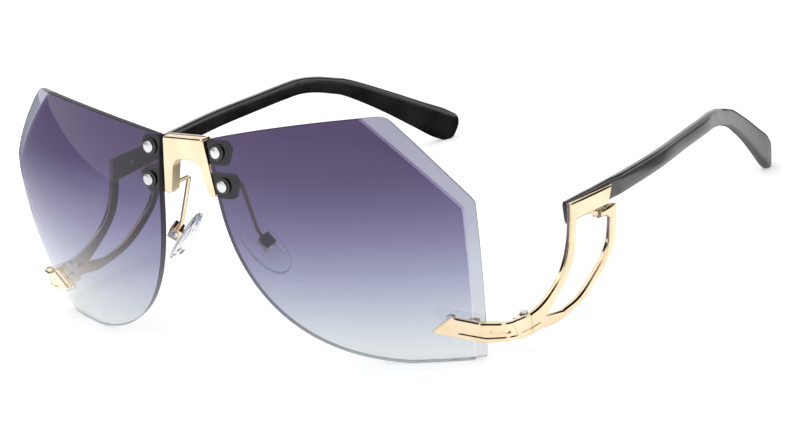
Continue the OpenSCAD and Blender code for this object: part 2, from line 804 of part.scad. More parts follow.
module nose_pad() {
  color(clear)
    at_pad()
      difference() {
        intersection() {
          rotate([0, 90, 0])
            translate([0, 0, -pad_t])
              linear_extrude(2 * pad_t)
                polygon([for (i = [0:pad_steps - 1]) let (a = 360 * i / pad_steps)
                  [pad_l / 2 * sign(cos(a)) * abs(cos(a)) ^ 0.9, pad_w / 2 * sign(sin(a)) * abs(sin(a)) ^ 0.9]]);
          pad_ball(pad_outer_sag, 1);
          pad_ball(pad_inner_sag, -1);
        }
        core_shape(seat_gap);
      }
}

// Endpieces

// Point of the lens's outer edge beside the endpiece
edge_share = arm_z / outer_point.y;
edge_x = lens_foot.x + (outer_point.x - lens_foot.x) * edge_share
  + lens_side_sag * (1 - (2 * edge_share - 1) ^ 2);
arm_x = lens_foot.x + arm_out;
edge_normal = lens_normal([edge_x, arm_z]);
front_face = seat_gap + front_t;
edge_face = lens_centre + edge_normal * (lens_curve_r + front_face);
bend_y = edge_face.y
  + (edge_normal.x * (arm_x - edge_face.x) + edge_normal.z * (arm_z - edge_face.z)) / -edge_normal.y;
// Lean of the band's bend and its angle round the lens
band_lean = atan2(-edge_normal.z, -edge_normal.y);
band_angle = atan2(edge_normal.x, norm([edge_normal.y, edge_normal.z]));
hinge_x = arm_x - hinge_in;
hinge_y = bend_y + side_l;
seam_z = arm_z - side_fall;
edge_z = arm_z + edge_rise;
fall_slope = front_fall / front_l;
band_start = edge_x + edge_gap + lens_side_sag / 4;

stud_points = [for (d = [0, 1])
  [lens_foot.x - stud_in - stud_pitch * d, edge_z + (edge_x - lens_foot.x + stud_in + stud_pitch * d) * fall_slope]];

// Strip of the band seen along its bend, between two depths from its outer face
module band_strip(near, far) {
  way = [cos(band_angle), sin(band_angle)];
  function bend_at(d) = [arm_x - d, d * (1 - sin(band_angle)) / cos(band_angle)];
  long = 2 * front_l;
  a = bend_at(near);
  b = bend_at(far);
  polygon(outline([[a.x - long * way.x, a.y - long * way.y, 0, 0],
                   [b.x - long * way.x, b.y - long * way.y, 0, 0],
                   [b.x, b.y, bend_r - far, 0],
                   [b.x, b.y + long, 0, 0],
                   [a.x, a.y + long, 0, 0],
                   [a.x, a.y, bend_r - near, 0]], edge_steps, round_steps * 2));
}

module band_body(near, far) {
  translate([0, bend_y, arm_z])
    rotate([band_lean, 0, 0])
      linear_extrude(2 * front_l, center = true)
        band_strip(near, far);
}

// Height range of the band, drawn in Y and Z
module band_side(h_front, h_back, end_y) {
  front_y = bend_y - front_l / 2;
  front_z = arm_z + 2 * edge_rise;
  polygon([[front_y, front_z - h_front / 2],
           [front_y, front_z + h_front / 2],
           [bend_y, arm_z + h_back / 2],
           [end_y, seam_z + h_back / 2],
           [end_y, seam_z - h_back / 2],
           [bend_y, arm_z - h_back / 2]]);
}

module front_plate_outline(h, from, slant) {
  function mid(x) = edge_z + (edge_x - x) * fall_slope;
  polygon([[from, mid(from) - h / 2],
           [from + slant, mid(from + slant) + h / 2],
           [band_start + overrun, mid(band_start + overrun) + h / 2],
           [band_start + overrun, mid(band_start + overrun) - h / 2]]);
}

// Knuckles of the hinge from the bottom: 0, 1 and 2
knuckle_h = (band_h - 2 * hinge_gap) / 3;
function knuckle_z(i) = seam_z - band_h / 2 + i * (knuckle_h + hinge_gap);

module hinge_cylinder(i, r, extra) {
  translate([0, 0, knuckle_z(i) - extra])
    cylinder(h = knuckle_h + 2 * extra, r = r);
}

module hinge_hole() {
  translate([0, 0, knuckle_z(0) - band_h])
    cylinder(h = 3 * band_h, r = hinge_pin_r + screw_fit);
}

module at_hinge() {
  translate([hinge_x, hinge_y, 0])
    children();
}

module endpiece() {
  top_z = arm_z + front_h;
  color(gold)
    difference() {
      union() {
        difference() {
          union() {
            layer(seat_gap, front_face)
              front_plate_outline(front_h, edge_x - front_l, point_l);
            intersection() {
              band_body(-band_step, band_t - band_step);
              side_view(band_start, arm_x + overrun)
                band_side(front_h, band_h, hinge_y - hinge_gap / 2);
            }
          }
          // Recess and slot round the bend
          intersection() {
            union() {
              band_body(-overrun, recess_d);
              shell(front_face - recess_d, front_face + overrun);
            }
            side_view(edge_x - point_l / 2, arm_x + overrun)
              slot_side(recess_h, bend_y + slot_back + recess_h / 2);
          }
          intersection() {
            band_body(-overrun, band_t + overrun);
            side_view(band_start + edge_gap, arm_x + overrun)
              slot_side(slot_h, bend_y + slot_back);
          }
          // Groove along the side face
          translate([arm_x - recess_d, 0, 0])
            side_view(0, recess_d + band_step + overrun)
              groove_side();
          at_hinge()
            hinge_cylinder(1, knuckle_r + hinge_gap, hinge_gap);
        }
        at_hinge()
          for (i = [0, 2]) {
            hinge_cylinder(i, knuckle_r, 0);
            translate([-leaf_in, -leaf_l, knuckle_z(i)])
              cube([leaf_in + hinge_in - band_t + leaf_bite, leaf_l, knuckle_h]);
          }
        for (p = stud_points)
          on_lens(p)
            translate([0, 0, -lens_t - 2 * seat_gap - backing_t - stud_nut_t - screw_end])
              cylinder(h = lens_t + 3 * seat_gap + backing_t + stud_nut_t + screw_end + front_t / 2, r = stud_r);
      }
      at_hinge()
        hinge_hole();
    }
}

// Slot or recess of a height, drawn in Y and Z, ending at a length
module slot_side(h, end_y) {
  front_y = bend_y - front_l;
  translate([0, -h / 2, 0])
    polygon([[front_y, arm_z + 2 * edge_rise],
             [bend_y, arm_z],
             [end_y, arm_z - side_fall * (end_y - bend_y) / side_l],
             [end_y, arm_z - side_fall * (end_y - bend_y) / side_l + h],
             [bend_y, arm_z + h],
             [front_y, arm_z + 2 * edge_rise + h]]);
}

module groove_side() {
  from_y = bend_y + slot_back + recess_h;
  to_y = hinge_y + overrun;
  low = seam_z - band_h / 8 - groove_w / 2;
  polygon([[from_y, low + side_fall / 2],
           [to_y, low],
           [to_y, low + groove_w],
           [from_y, low + side_fall / 2 + groove_w]]);
}

module backing_plate() {
  from = lens_foot.x - backing_l + stud_in;
  color(clear)
    difference() {
      layer(-lens_t - seat_gap - backing_t, -lens_t - seat_gap)
        polygon(outline([for (c = [[from, -1], [from, 1], [from + backing_l - stud_in, 1], [from + backing_l - stud_in, -1]])
          [c.x, edge_z + (edge_x - c.x) * fall_slope + c.y * backing_h / 2, stud_nut_r, 0]], 1, round_steps));
      for (p = stud_points)
        through_lens(p, stud_r + screw_fit);
    }
}

module endpiece_nuts() {
  color(silver)
    both_sides()
      for (p = stud_points)
        on_lens(p)
          translate([0, 0, -lens_t - 2 * seat_gap - backing_t - stud_nut_t])
            difference() {
              cylinder(h = stud_nut_t, r = stud_nut_r, $fn = 6);
              translate([0, 0, -overrun])
                cylinder(h = stud_nut_t + 2 * overrun, r = stud_r + screw_fit);
            }
}

module hinge_screw() {
  color(silver)
    at_hinge() {
      translate([0, 0, knuckle_z(0)])
        cylinder(h = band_h + seat_gap + hinge_head_h / 2, r = hinge_pin_r);
      translate([0, 0, knuckle_z(2) + knuckle_h + seat_gap])
        cylinder(h = hinge_head_h, r = hinge_head_r);
    }
}

// Temples

frame_near = hinge_in - frame_t;
plate_near = hinge_in - plate_t;
plate_top_z = seam_z + frame_h;
hook_top_z = plate_top_z - hook_drop;
hook_y = head_share[3].x * frame_l;

function frame_points(list) = [for (s = list) [s.x * frame_l, seam_z + s.y * frame_h]];

module frame_outline() {
  half = band_h / 2;
  polygon(concat([[-overrun, seam_z + half]],
                 smooth(frame_points(front_outer_share), contour_steps),
                 frame_points(plate_share),
                 smooth(frame_points(front_inner_share), contour_steps),
                 smooth(frame_points(rear_inner_share), contour_steps),
                 frame_points(head_share),
                 smooth(frame_points(rear_outer_share), contour_steps),
                 [[-overrun, seam_z - half]]));
}

module temple_frame() {
  color(gold)
    difference() {
      union() {
        difference() {
          at_hinge()
            difference() {
              side_view(frame_near, hinge_in)
                frame_outline();
              // Room for the black temple behind the gold plate
              translate([frame_near - overrun, temple_start_l - temple_front_h / 2, hook_top_z + hook_t / 2])
                cube([frame_t - plate_t + overrun, frame_l, frame_h]);
            }
          translate([0, hinge_y - frame_l, 0])
            cube([2 * arm_x, frame_l + hinge_gap / 2, 3 * frame_h]);
          translate([hinge_x + hinge_in - recess_d, 0, 0])
            side_view(0, recess_d + overrun)
              frame_groove();
          at_hinge()
            for (i = [0, 2])
              hinge_cylinder(i, knuckle_r + hinge_gap, hinge_gap);
        }
        at_hinge()
          translate([frame_near - hook_w, hook_y - hook_l, hook_top_z - hook_t])
            cube([hook_w + hook_t, hook_l, hook_t]);
        at_hinge() {
          hinge_cylinder(1, knuckle_r, 0);
          translate([-leaf_in, 0, knuckle_z(1)])
            cube([leaf_in + frame_near + leaf_bite, leaf_l, knuckle_h]);
        }
      }
      at_hinge()
        hinge_hole();
      at_hook_screws()
        cylinder(h = 2 * frame_h, r = rivet_r + screw_fit);
      at_rivets()
        cylinder(h = temple_w + seat_gap + plate_t / 2, r = rivet_r + screw_fit);
    }
}

module frame_groove() {
  low = seam_z - band_h / 8 - groove_w / 2;
  polygon([[hinge_y - overrun, low],
           [hinge_y + leaf_l, low],
           [hinge_y + leaf_l, low + groove_w],
           [hinge_y - overrun, low + groove_w]]);
}

// Stations of a temple's middle line: [x, y, z, height, width]
temple_x = plate_near - seat_gap - temple_w / 2;
front_z = plate_top_z + temple_up - temple_front_h / 2;
crest_z = front_z + temple_rise;
function temple_stations() =
  concat([for (s = temple_front_share)
           [temple_x - tip_in * s[3],
            temple_start_l + (temple_bend_l - temple_start_l) * s[0],
            front_z + temple_rise * s[1],
            temple_front_h - (temple_front_h - temple_mid_h) * s[2],
            temple_w]],
         [for (s = tip_share)
           [temple_x - tip_in * s[3],
            temple_bend_l + tip_l * s[0],
            crest_z - (crest_z - tip_z) * s[1],
            temple_mid_h + (paddle_h - temple_mid_h) * s[2],
            temple_w + (paddle_w - temple_w) * s[2]]]);

// Ring of a temple: middle, direction, height and width
function temple_ring(p, t, h, w) =
  let (side = unit(cross(t, [0, 0, 1])),
       up = cross(side, t))
  [for (k = [0:temple_sides - 1])
    let (a = 360 * (k + 1 / 2) / temple_sides)
    p + side * w / 2 * sign(cos(a)) * abs(cos(a)) ^ (2 / temple_power)
      + up * h / 2 * sign(sin(a)) * abs(sin(a)) ^ (2 / temple_power)];

module temple_body() {
  s = smooth(temple_stations(), temple_steps);
  last = len(s) - 1;
  function middle(i) = [s[i].x, s[i].y, s[i].z];
  function way(i) = unit(middle(min(i + 1, last)) - middle(max(i - 1, 0)));
  function end_ring(i, a, reach, power) =
    let (size = sin(a) ^ (2 / power))
    temple_ring(middle(i) + reach * way(i) * s[i][3] * cos(a) ^ (2 / power), way(i),
                s[i][3] * size, s[i][4] * size);
  skin(concat([for (a = end_angles) end_ring(0, a, -temple_end_share[0], temple_power)],
              [for (i = [0:last]) temple_ring(middle(i), way(i), s[i][3], s[i][4])],
              [for (a = reverse(end_angles)) end_ring(last, a, temple_end_share[1], 2)]));
}

// Small screws through the temple into the gold plate
rivet_share = [0.12, 0.32];
module at_rivets() {
  for (k = rivet_share)
    at_hinge()
      translate([temple_x - temple_w / 2, temple_start_l + frame_l * k, front_z - temple_rise / 2])
        rotate([0, 90, 0])
          children();
}

// Small screws through the fold into the temple from below
hook_screw_share = [0.16, 0.8];
module at_hook_screws() {
  for (k = hook_screw_share)
    at_hinge()
      translate([frame_near - hook_w / 2, hook_y - hook_l * (1 - k), 0])
        children();
}

module temple() {
  color(black)
    difference() {
      at_hinge()
        temple_body();
      translate([-arm_x, 0, -paddle_h])
        cube([3 * arm_x, 2 * (temple_bend_l + tip_l), paddle_h]);
      at_rivets()
        translate([0, 0, -overrun])
          cylinder(h = temple_w + 2 * overrun, r = rivet_r + screw_fit);
      at_hook_screws()
        cylinder(h = hook_top_z + temple_mid_h + seat_gap, r = rivet_r + screw_fit);
    }
}

module temple_screws() {
  color(silver)
    at_rivets() {
      cylinder(h = temple_w + plate_t / 2, r = rivet_r);
      translate([0, 0, -seat_gap])
        rotate([180, 0, 0])
          dome(rivet_head_r, rivet_head_h);
      translate([0, 0, -seat_gap])
        cylinder(h = 2 * seat_gap, r = rivet_r);
    }
}

module hook_screws() {
  color(silver)
    at_hook_screws() {
      translate([0, 0, hook_top_z - hook_t - seat_gap - hook_head_h])
        cylinder(h = hook_head_h, r = hook_head_r);
      translate([0, 0, hook_top_z - hook_t - seat_gap - hook_head_h / 2])
        cylinder(h = hook_t + seat_gap + hook_head_h / 2 + temple_mid_h, r = rivet_r);
    }
}

// The origin is midway between the front of the screws and the ends of the tips
front_y = -washer_t;
tip_end_y = hinge_y + temple_bend_l + tip_l;
mid_y = (front_y + tip_end_y) / 2;

module place() {
  translate([0, -mid_y, 0])
    children();
}

module place_right() {
  place()
    mirror([1, 0, 0])
      children();
}

place() lens();  // lens_left
place_right() lens();  // lens_right
place() bridge_plate();
place() bridge_cover();
place() bridge_screws();
place() bridge_washers();
place() bridge_nuts();
place() nose_arm();  // nose_arm_left
place_right() nose_arm();  // nose_arm_right
place() pad_box();  // pad_box_left
place_right() pad_box();  // pad_box_right
place() pad_screw();  // pad_screw_left
place_right() pad_screw();  // pad_screw_right
place() pad_core();  // pad_core_left
place_right() pad_core();  // pad_core_right
place() nose_pad();  // nose_pad_left
place_right() nose_pad();  // nose_pad_right
place() endpiece();  // endpiece_left
place_right() endpiece();  // endpiece_right
place() backing_plate();  // backing_plate_left
place_right() backing_plate();  // backing_plate_right
place() endpiece_nuts();
place() hinge_screw();  // hinge_screw_left
place_right() hinge_screw();  // hinge_screw_right
place() temple_frame();  // temple_frame_left
place_right() temple_frame();  // temple_frame_right
place() temple();  // temple_left
place_right() temple();  // temple_right
place() temple_screws();  // temple_screws_left
place_right() temple_screws();  // temple_screws_right
place() hook_screws();  // hook_screws_left
place_right() hook_screws();  // hook_screws_right
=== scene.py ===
import math
import bmesh
import bpy
import numpy as np
from mathutils import Matrix, Vector


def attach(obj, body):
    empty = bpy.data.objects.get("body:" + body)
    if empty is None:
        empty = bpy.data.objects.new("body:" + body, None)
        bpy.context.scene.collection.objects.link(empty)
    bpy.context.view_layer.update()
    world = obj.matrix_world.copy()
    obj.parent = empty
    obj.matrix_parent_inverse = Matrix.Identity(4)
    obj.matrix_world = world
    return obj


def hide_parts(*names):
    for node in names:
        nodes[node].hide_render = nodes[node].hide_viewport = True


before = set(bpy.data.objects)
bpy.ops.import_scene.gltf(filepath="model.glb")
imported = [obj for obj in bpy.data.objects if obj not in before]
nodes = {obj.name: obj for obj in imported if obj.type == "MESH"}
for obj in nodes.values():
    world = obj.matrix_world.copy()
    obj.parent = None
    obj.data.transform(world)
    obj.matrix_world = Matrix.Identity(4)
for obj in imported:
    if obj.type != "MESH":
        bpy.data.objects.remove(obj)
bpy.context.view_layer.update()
print("stage: packed frame loaded")

# Sizes are in millimetres, measured from the top inner corners of the lenses and from the table.
originY = 84.5853  # how far the part's origin lies behind those corners
sides = {"left": 1, "right": -1}


def toMetres(points):
    return (np.asarray(points, float) - [0, originY, 0]) / 1000


def unit(v):
    v = np.asarray(v, float)
    return v / np.linalg.norm(v, axis=-1, keepdims=True)


# Angles of n points evenly round a circle.
def roundAngles(n, start=0.0):
    return 2 * np.pi * (np.arange(n) + start) / n


# Raises the size of each value to a power and keeps its sign.
def signedPower(v, power):
    return np.sign(v) * np.abs(v) ** power


# Smooth step of a share: three times its square less twice its cube.
def eased(t):
    return t * t * (3 - 2 * t)


# Quads between each ring of points and the next, going round and closing.
def ringFaces(rows, cols):
    i, j = np.meshgrid(np.arange(rows - 1), np.arange(cols), indexing="ij")
    k = (j + 1) % cols
    return np.stack([i * cols + j, i * cols + k, (i + 1) * cols + k, (i + 1) * cols + j], -1).reshape(-1, 4).tolist()


# Surface through rings of points, closed by a flat cap at each end that is capped.
def ringSurface(rings, capped=(True, True)):
    rings = np.asarray(rings, float)
    rows, cols = rings.shape[:2]
    points = rings.reshape(-1, 3)
    faces = ringFaces(rows, cols)
    if capped[0]:
        faces.append(list(range(cols)))
    if capped[1]:
        faces.append(list(range((rows - 1) * cols, rows * cols)))
    return points, faces


def addObject(name, data):
    added = bpy.data.objects.new(name, data)
    bpy.context.scene.collection.objects.link(added)
    return added


# Mesh of a surface given in millimetres of the left side, mirrored by side -1, with its faces turned outwards.
def makeMesh(name, surface, side, finishes=(), marks=None):
    points, faces = surface
    mesh = bpy.data.meshes.new(name)
    mesh.from_pydata(toMetres(points * [side, 1, 1]).tolist(), [], faces)
    for material in finishes:
        mesh.materials.append(material)
    if marks is not None:
        mesh.polygons.foreach_set("material_index", np.asarray(marks, np.int32))
    work = bmesh.new()
    work.from_mesh(mesh)
    bmesh.ops.remove_doubles(work, verts=work.verts, dist=1e-7)
    bmesh.ops.recalc_face_normals(work, faces=work.faces)
    work.to_mesh(mesh)
    work.free()
    return mesh


def smoothUpTo(mesh, angle):
    mesh.shade_smooth()
    mesh.set_sharp_from_angle(angle=math.radians(angle))


# Piece of one finish, or of several that marks share out over its faces.
def makePiece(name, surface, finish, body, replaced=(), side=1, sharp=30, marks=None):
    mesh = makeMesh(name, surface, side, finish if isinstance(finish, list) else [finish], marks)
    smoothUpTo(mesh, sharp)
    piece = addObject(name, mesh)
    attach(piece, body)
    if replaced:
        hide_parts(*replaced)
    return piece


copySettings = dict(mergeDistance=2e-6, flatAngle=0.6, segments=2, edgeAngle=28)


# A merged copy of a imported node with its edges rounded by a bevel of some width.
def roundedCopy(name, finish, width, body):
    s = copySettings
    mesh = nodes[name].data.copy()
    mesh.materials.clear()
    mesh.materials.append(finish)
    mesh.polygons.foreach_set("material_index", np.zeros(len(mesh.polygons), np.int32))
    work = bmesh.new()
    work.from_mesh(mesh)
    bmesh.ops.remove_doubles(work, verts=work.verts, dist=s["mergeDistance"])
    bmesh.ops.dissolve_limit(work, angle_limit=math.radians(s["flatAngle"]), verts=work.verts, edges=work.edges)
    work.to_mesh(mesh)
    work.free()
    mesh.shade_smooth()
    piece = addObject(name + "_rounded", mesh)
    bevel = piece.modifiers.new("roundEdges", "BEVEL")
    bevel.width = width / 1000
    bevel.segments = s["segments"]
    bevel.limit_method = "ANGLE"
    bevel.angle_limit = math.radians(s["edgeAngle"])
    bevel.miter_outer = "MITER_ARC"
    bevel.use_clamp_overlap = True
    piece.modifiers.new("evenFlats", "WEIGHTED_NORMAL").keep_sharp = True
    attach(piece, body)
    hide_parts(name)
    return piece


def leftOf(v):
    return np.array([-v[1], v[0]])


def turned(v, a):
    return np.array([v[0] * math.cos(a) - v[1] * math.sin(a), v[0] * math.sin(a) + v[1] * math.cos(a)])


# Half the angle an arc turns through, from its chord and its bulge: twice the arc tangent of twice bulge over chord.
def halfTurn(chord, bulge):
    return 2 * math.atan2(2 * bulge, chord)


# Points between two ends of an arc whose bulge lies to the left.
def arcPoints(a, b, bulge, n):
    t = np.arange(1, n) / n
    if abs(bulge) < 1e-9:
        return a + np.outer(t, b - a)
    chord = np.linalg.norm(b - a)
    f = halfTurn(chord, bulge)
    r = chord / 2 / math.sin(f)
    u = (b - a) / chord
    s = f * (2 * t - 1)
    return a + np.outer(r * (np.sin(s) + math.sin(f)), u) + np.outer(r * (np.cos(s) - math.cos(f)), leftOf(u))


# Closed outline through corners (x, y, rounding, bulge of the edge that leaves): each corner is cut back along
# its two edges by rounding times the tangent of half the bend and filled with an arc.
def roundedOutline(corners, nEdge, nRound):
    n = len(corners)
    ends = []
    for i, (x, y, rounding, bulge) in enumerate(corners):
        p = np.array([x, y])
        before, after = corners[i - 1], corners[(i + 1) % n]
        gapIn, gapOut = p - before[:2], np.array(after[:2]) - p
        dIn = turned(unit(gapIn), -halfTurn(np.linalg.norm(gapIn), before[3]))
        dOut = turned(unit(gapOut), halfTurn(np.linalg.norm(gapOut), bulge))
        bend = math.atan2(dIn[0] * dOut[1] - dIn[1] * dOut[0], dIn @ dOut)
        reach = rounding * math.tan(abs(bend) / 2)
        ends.append((p - dIn * reach, p + dOut * reach, bend))
    parts = []
    for i, (x, y, rounding, bulge) in enumerate(corners):
        k = (i + 1) % n
        a, b, bend = ends[i]
        parts.append(a[None])
        if rounding:
            chord = np.linalg.norm(b - a)
            parts.append(arcPoints(a, b, -np.sign(bend) * chord / 2 * math.tan(abs(bend) / 4), nRound))
            parts.append(b[None])
        whole = np.linalg.norm(np.array(corners[k][:2]) - [x, y])
        left = np.linalg.norm(ends[k][0] - b)
        parts.append(arcPoints(b, ends[k][0], bulge * (left / whole) ** 2, nEdge))
    return np.vstack(parts)


# Direction of a path at each point: from the point before to the point after.
def directions(path):
    return unit(np.vstack([path[1:2] - path[:1], path[2:] - path[:-2], path[-1:] - path[-2:-1]]))


# Smooth curve through points: the cubic that passes each with the slope from its neighbours, n steps apiece.
def smoothCurve(points, n):
    p = np.asarray(points, float)
    p = np.vstack([2 * p[0] - p[1], p, 2 * p[-1] - p[-2]])
    t = (np.arange(n) / n)[None, :, None]
    a, b, c, d = (p[i:len(p) - 3 + i, None, :] for i in range(4))
    curve = (2 * b + (c - a) * t + (2 * a - 5 * b + 4 * c - d) * t ** 2 + (3 * b - a - 3 * c + d) * t ** 3) / 2
    return np.vstack([curve.reshape(-1, p.shape[1]), p[-2:-1]])


# Moves each point of a closed outline inwards along the mean normal of its two edges, by the inset divided by the
# cosine of half the angle between them.
def drawnIn(outline, inset):
    way = unit(np.roll(outline, -1, 0) - outline)
    before = np.roll(way, 1, 0)
    area = np.sum(outline[:, 0] * np.roll(outline[:, 1], -1) - np.roll(outline[:, 0], -1) * outline[:, 1])
    inward = np.stack([-way[:, 1], way[:, 0]], 1) * np.sign(area)
    inwardBefore = np.stack([-before[:, 1], before[:, 0]], 1) * np.sign(area)
    middle = unit(inward + inwardBefore)
    stretch = np.clip(np.sum(middle * inward, 1), 0.55, 1)[:, None]
    return outline + middle * inset / stretch


# Rings of a flat plate: each ring is the outline drawn in by an inset at a depth. The edges have a flat chamfer of
# width c, softened at both of its own edges, on the front, and a smaller one at the back.
def plateProfile(thickness, front, back, soft=0.06):
    def edge(c):
        s = min(soft, c / 3)
        return [(c + 2 * s, 0), (c + s, 0), (c - 0.7 * s, 0.7 * s), (0.7 * s, c - 0.7 * s), (0, c + s), (0, c + 2 * s)]

    return edge(front) + [(i, thickness - d) for i, d in reversed(edge(back))]


def plateRings(outline, profile, place):
    return np.stack([place(drawnIn(outline, i), d) for i, d in profile])


def newMaterial(name):
    material = bpy.data.materials.new(name)
    material.use_nodes = True
    tree = material.node_tree
    return material, tree, tree.nodes["Principled BSDF"]


# Feeds an input from another node's output, or gives it a plain value.
def feed(tree, target, value):
    if isinstance(value, bpy.types.NodeSocket):
        tree.links.new(value, target)
    else:
        target.default_value = value


def feedInputs(tree, node, values):
    for key, value in values.items():
        feed(tree, node.inputs[key], value)


# Node whose settings and inputs are given by name.
def addNode(tree, kind, **values):
    node = tree.nodes.new(kind)
    for key, value in values.items():
        if hasattr(node, key):
            setattr(node, key, value)
        else:
            feed(tree, node.inputs[key], value)
    return node


# Result of a math node whose inputs are outputs of other nodes or plain values.
def addMath(tree, operation, *inputs, kind="ShaderNodeMath", **settings):
    node = addNode(tree, kind, operation=operation, **settings)
    for target, value in zip(node.inputs, inputs):
        feed(tree, target, value)
    return node.outputs["Value" if operation == "DOT_PRODUCT" else 0]


def addVectorMath(tree, operation, *inputs):
    return addMath(tree, operation, *inputs, kind="ShaderNodeVectorMath")


# Smooth step from one level to another while a value runs between two bounds.
def addSoftStep(tree, value, bounds, levels):
    values = {"Value": value, "From Min": bounds[0], "From Max": bounds[1], "To Min": levels[0], "To Max": levels[1]}
    return addNode(tree, "ShaderNodeMapRange", interpolation_type="SMOOTHSTEP", **values).outputs[0]


# Colour from a ramp with stops (place, colour) at a value.
def addRamp(tree, stops, value):
    ramp = tree.nodes.new("ShaderNodeValToRGB")
    elements = ramp.color_ramp.elements
    while len(elements) < len(stops):
        elements.new(0.5)
    for element, (place, colour) in zip(elements, sorted(stops)):
        element.position = place
        element.color = (*colour, 1)
    tree.links.new(value, ramp.inputs[0])
    return ramp.outputs[0]


# Mixes two shaders by a factor and hands the result to the material's output.
def mixForOutput(tree, *parts):
    both = tree.nodes.new("ShaderNodeMixShader")
    for target, part in zip(both.inputs, parts):
        tree.links.new(part, target)
    tree.links.new(both.outputs[0], tree.nodes["Material Output"].inputs["Surface"])


# Shared effect: fine polishing lines and faint smudges. It puts out a roughness, a height and a shade mask.
def makePolish():
    group = bpy.data.node_groups.new("polish", "ShaderNodeTree")
    for name, value in (("Scale", 900.0), ("Rough", 0.15), ("Spread", 0.08)):
        group.interface.new_socket(name, in_out="INPUT", socket_type="NodeSocketFloat").default_value = value
    group.interface.new_socket("Direction", in_out="INPUT", socket_type="NodeSocketVector").default_value = (1, 1, 1)
    for name in ("Roughness", "Height", "Mask"):
        group.interface.new_socket(name, in_out="OUTPUT", socket_type="NodeSocketFloat")
    given = group.nodes.new("NodeGroupInput").outputs
    end = group.nodes.new("NodeGroupOutput")
    place = group.nodes.new("ShaderNodeTexCoord").outputs["Object"]
    stretched = addVectorMath(group, "MULTIPLY", place, given["Direction"])
    fine = addNode(group, "ShaderNodeTexNoise", Vector=stretched, Scale=given["Scale"], Detail=3.0, Roughness=0.6)
    broad = addNode(group, "ShaderNodeTexNoise", Vector=place, Scale=160.0, Detail=2.0)
    product = addMath(group, "MULTIPLY", fine.outputs[0], broad.outputs[0])
    aroundZero = addMath(group, "SUBTRACT", product, 0.25)  # the product's mean
    rough = addMath(group, "MULTIPLY_ADD", aroundZero, given["Spread"], given["Rough"])
    for name, value in (("Roughness", rough), ("Height", fine.outputs[0]), ("Mask", broad.outputs[0])):
        group.links.new(value, end.inputs[name])
    return group


# Lets the light of lamps through a clear material, tinted, and leaves its look to the glass shader.
def letLampsThrough(tree, shader, tint):
    shadow = tree.nodes.new("ShaderNodeLightPath").outputs["Is Shadow Ray"]
    through = addNode(tree, "ShaderNodeBsdfTransparent", Color=tint)
    mixForOutput(tree, shadow, shader.outputs[0], through.outputs[0])


# Each finish runs between two colours; direction is smallest along the axis that its polishing lines follow, plain
# holds values of the shader itself, and lampTint colours the light that a clear finish lets through.
finishLooks = {
    "paleGold": dict(colours=((0.90, 0.71, 0.47), (0.97, 0.80, 0.57)), scale=1500, rough=0.13, spread=0.2, bump=0.05,
                     direction=(0.25, 1, 0.25), plain={"Metallic": 1}),
    "screwSteel": dict(colours=((0.62, 0.62, 0.64), (0.82, 0.82, 0.83)), scale=2200, rough=0.16, spread=0.25,
                       bump=0.06, direction=(1, 0.2, 1), plain={"Metallic": 1}),
    "blackEnamel": dict(colours=((0.006, 0.006, 0.007), (0.018, 0.017, 0.018)), scale=900, rough=0.16, spread=0.2,
                        bump=0.08, plain={"Coat Weight": 0.4, "Coat Roughness": 0.05}),
    "blackAcetate": dict(colours=((0.006, 0.006, 0.006), (0.02, 0.0195, 0.0185)), scale=700, rough=0.2, spread=0.16,
                         bump=0.05, direction=(1, 0.3, 1),
                         plain={"IOR": 1.5, "Coat Weight": 1.0, "Coat Roughness": 0.08}),
    "clearSilicone": dict(colours=((0.95, 0.955, 0.965), (0.975, 0.98, 0.985)), scale=600, rough=0.05, spread=0.06,
                          bump=0.03, plain={"Transmission Weight": 1, "IOR": 1.3}, lampTint=(0.975, 0.98, 0.985)),
    "clearPlate": dict(colours=((0.93, 0.94, 0.96), (0.96, 0.965, 0.975)), scale=700, rough=0.03, spread=0.06,
                       bump=0.03, plain={"Transmission Weight": 1, "IOR": 1.05}, lampTint=(0.95, 0.95, 0.96)),
}
polish = makePolish()


# Material whose roughness, fine bump and slight change of colour come from the polish group.
def makeFinish(name):
    look = finishLooks[name]
    material, tree, shader = newMaterial(name)
    effect = addNode(tree, "ShaderNodeGroup", node_tree=polish, Scale=look["scale"], Rough=look["rough"],
                     Spread=look["spread"], Direction=look.get("direction", (1, 1, 1))).outputs
    relief = addNode(tree, "ShaderNodeBump", Strength=look["bump"], Distance=0.00005, Height=effect["Height"])
    colour = addRamp(tree, list(zip((0.3, 0.7), look["colours"])), effect["Mask"])
    feedInputs(tree, shader, {"Roughness": effect["Roughness"], "Normal": relief.outputs["Normal"],
                              "Base Color": colour, **look["plain"]})
    if "lampTint" in look:
        letLampsThrough(tree, shader, (*look["lampTint"], 1))
    return material


lensLook = dict(
    fade=[(58, (0.057, 0.034, 0.108)), (50, (0.069, 0.046, 0.127)), (42, (0.105, 0.089, 0.192)),
          (34, (0.18, 0.162, 0.29)), (26, (0.27, 0.281, 0.41)), (18, (0.415, 0.437, 0.546)),
          (10, (0.581, 0.623, 0.67)), (3, (0.737, 0.775, 0.79))],
    bevelFade=[(60, (0.318, 0.317, 0.412)), (47, (0.363, 0.367, 0.446)), (38, (0.375, 0.39, 0.473)),
               (30, (0.465, 0.497, 0.579)), (24, (0.526, 0.559, 0.628)), (18, (0.557, 0.59, 0.618)),
               (3, (0.739, 0.757, 0.755))],
    # the fine line's colours are a painted highlight along the bevel's inner edge, paler lower down
    highlightLineFade=[(60, (0.72, 0.72, 0.82)), (3, (0.95, 0.96, 0.97))],
    # the rim's colours are painted shade: its glass is darkened, most at the top, for the dark outline along the
    # lens's edge
    rim=[(60, (0.045, 0.04, 0.055)), (35, (0.13, 0.125, 0.15)), (10, (0.38, 0.39, 0.41)), (3, (0.5, 0.52, 0.54))],
    height=64.5, cloudScale=120.0, cloudDrift=0.0008)
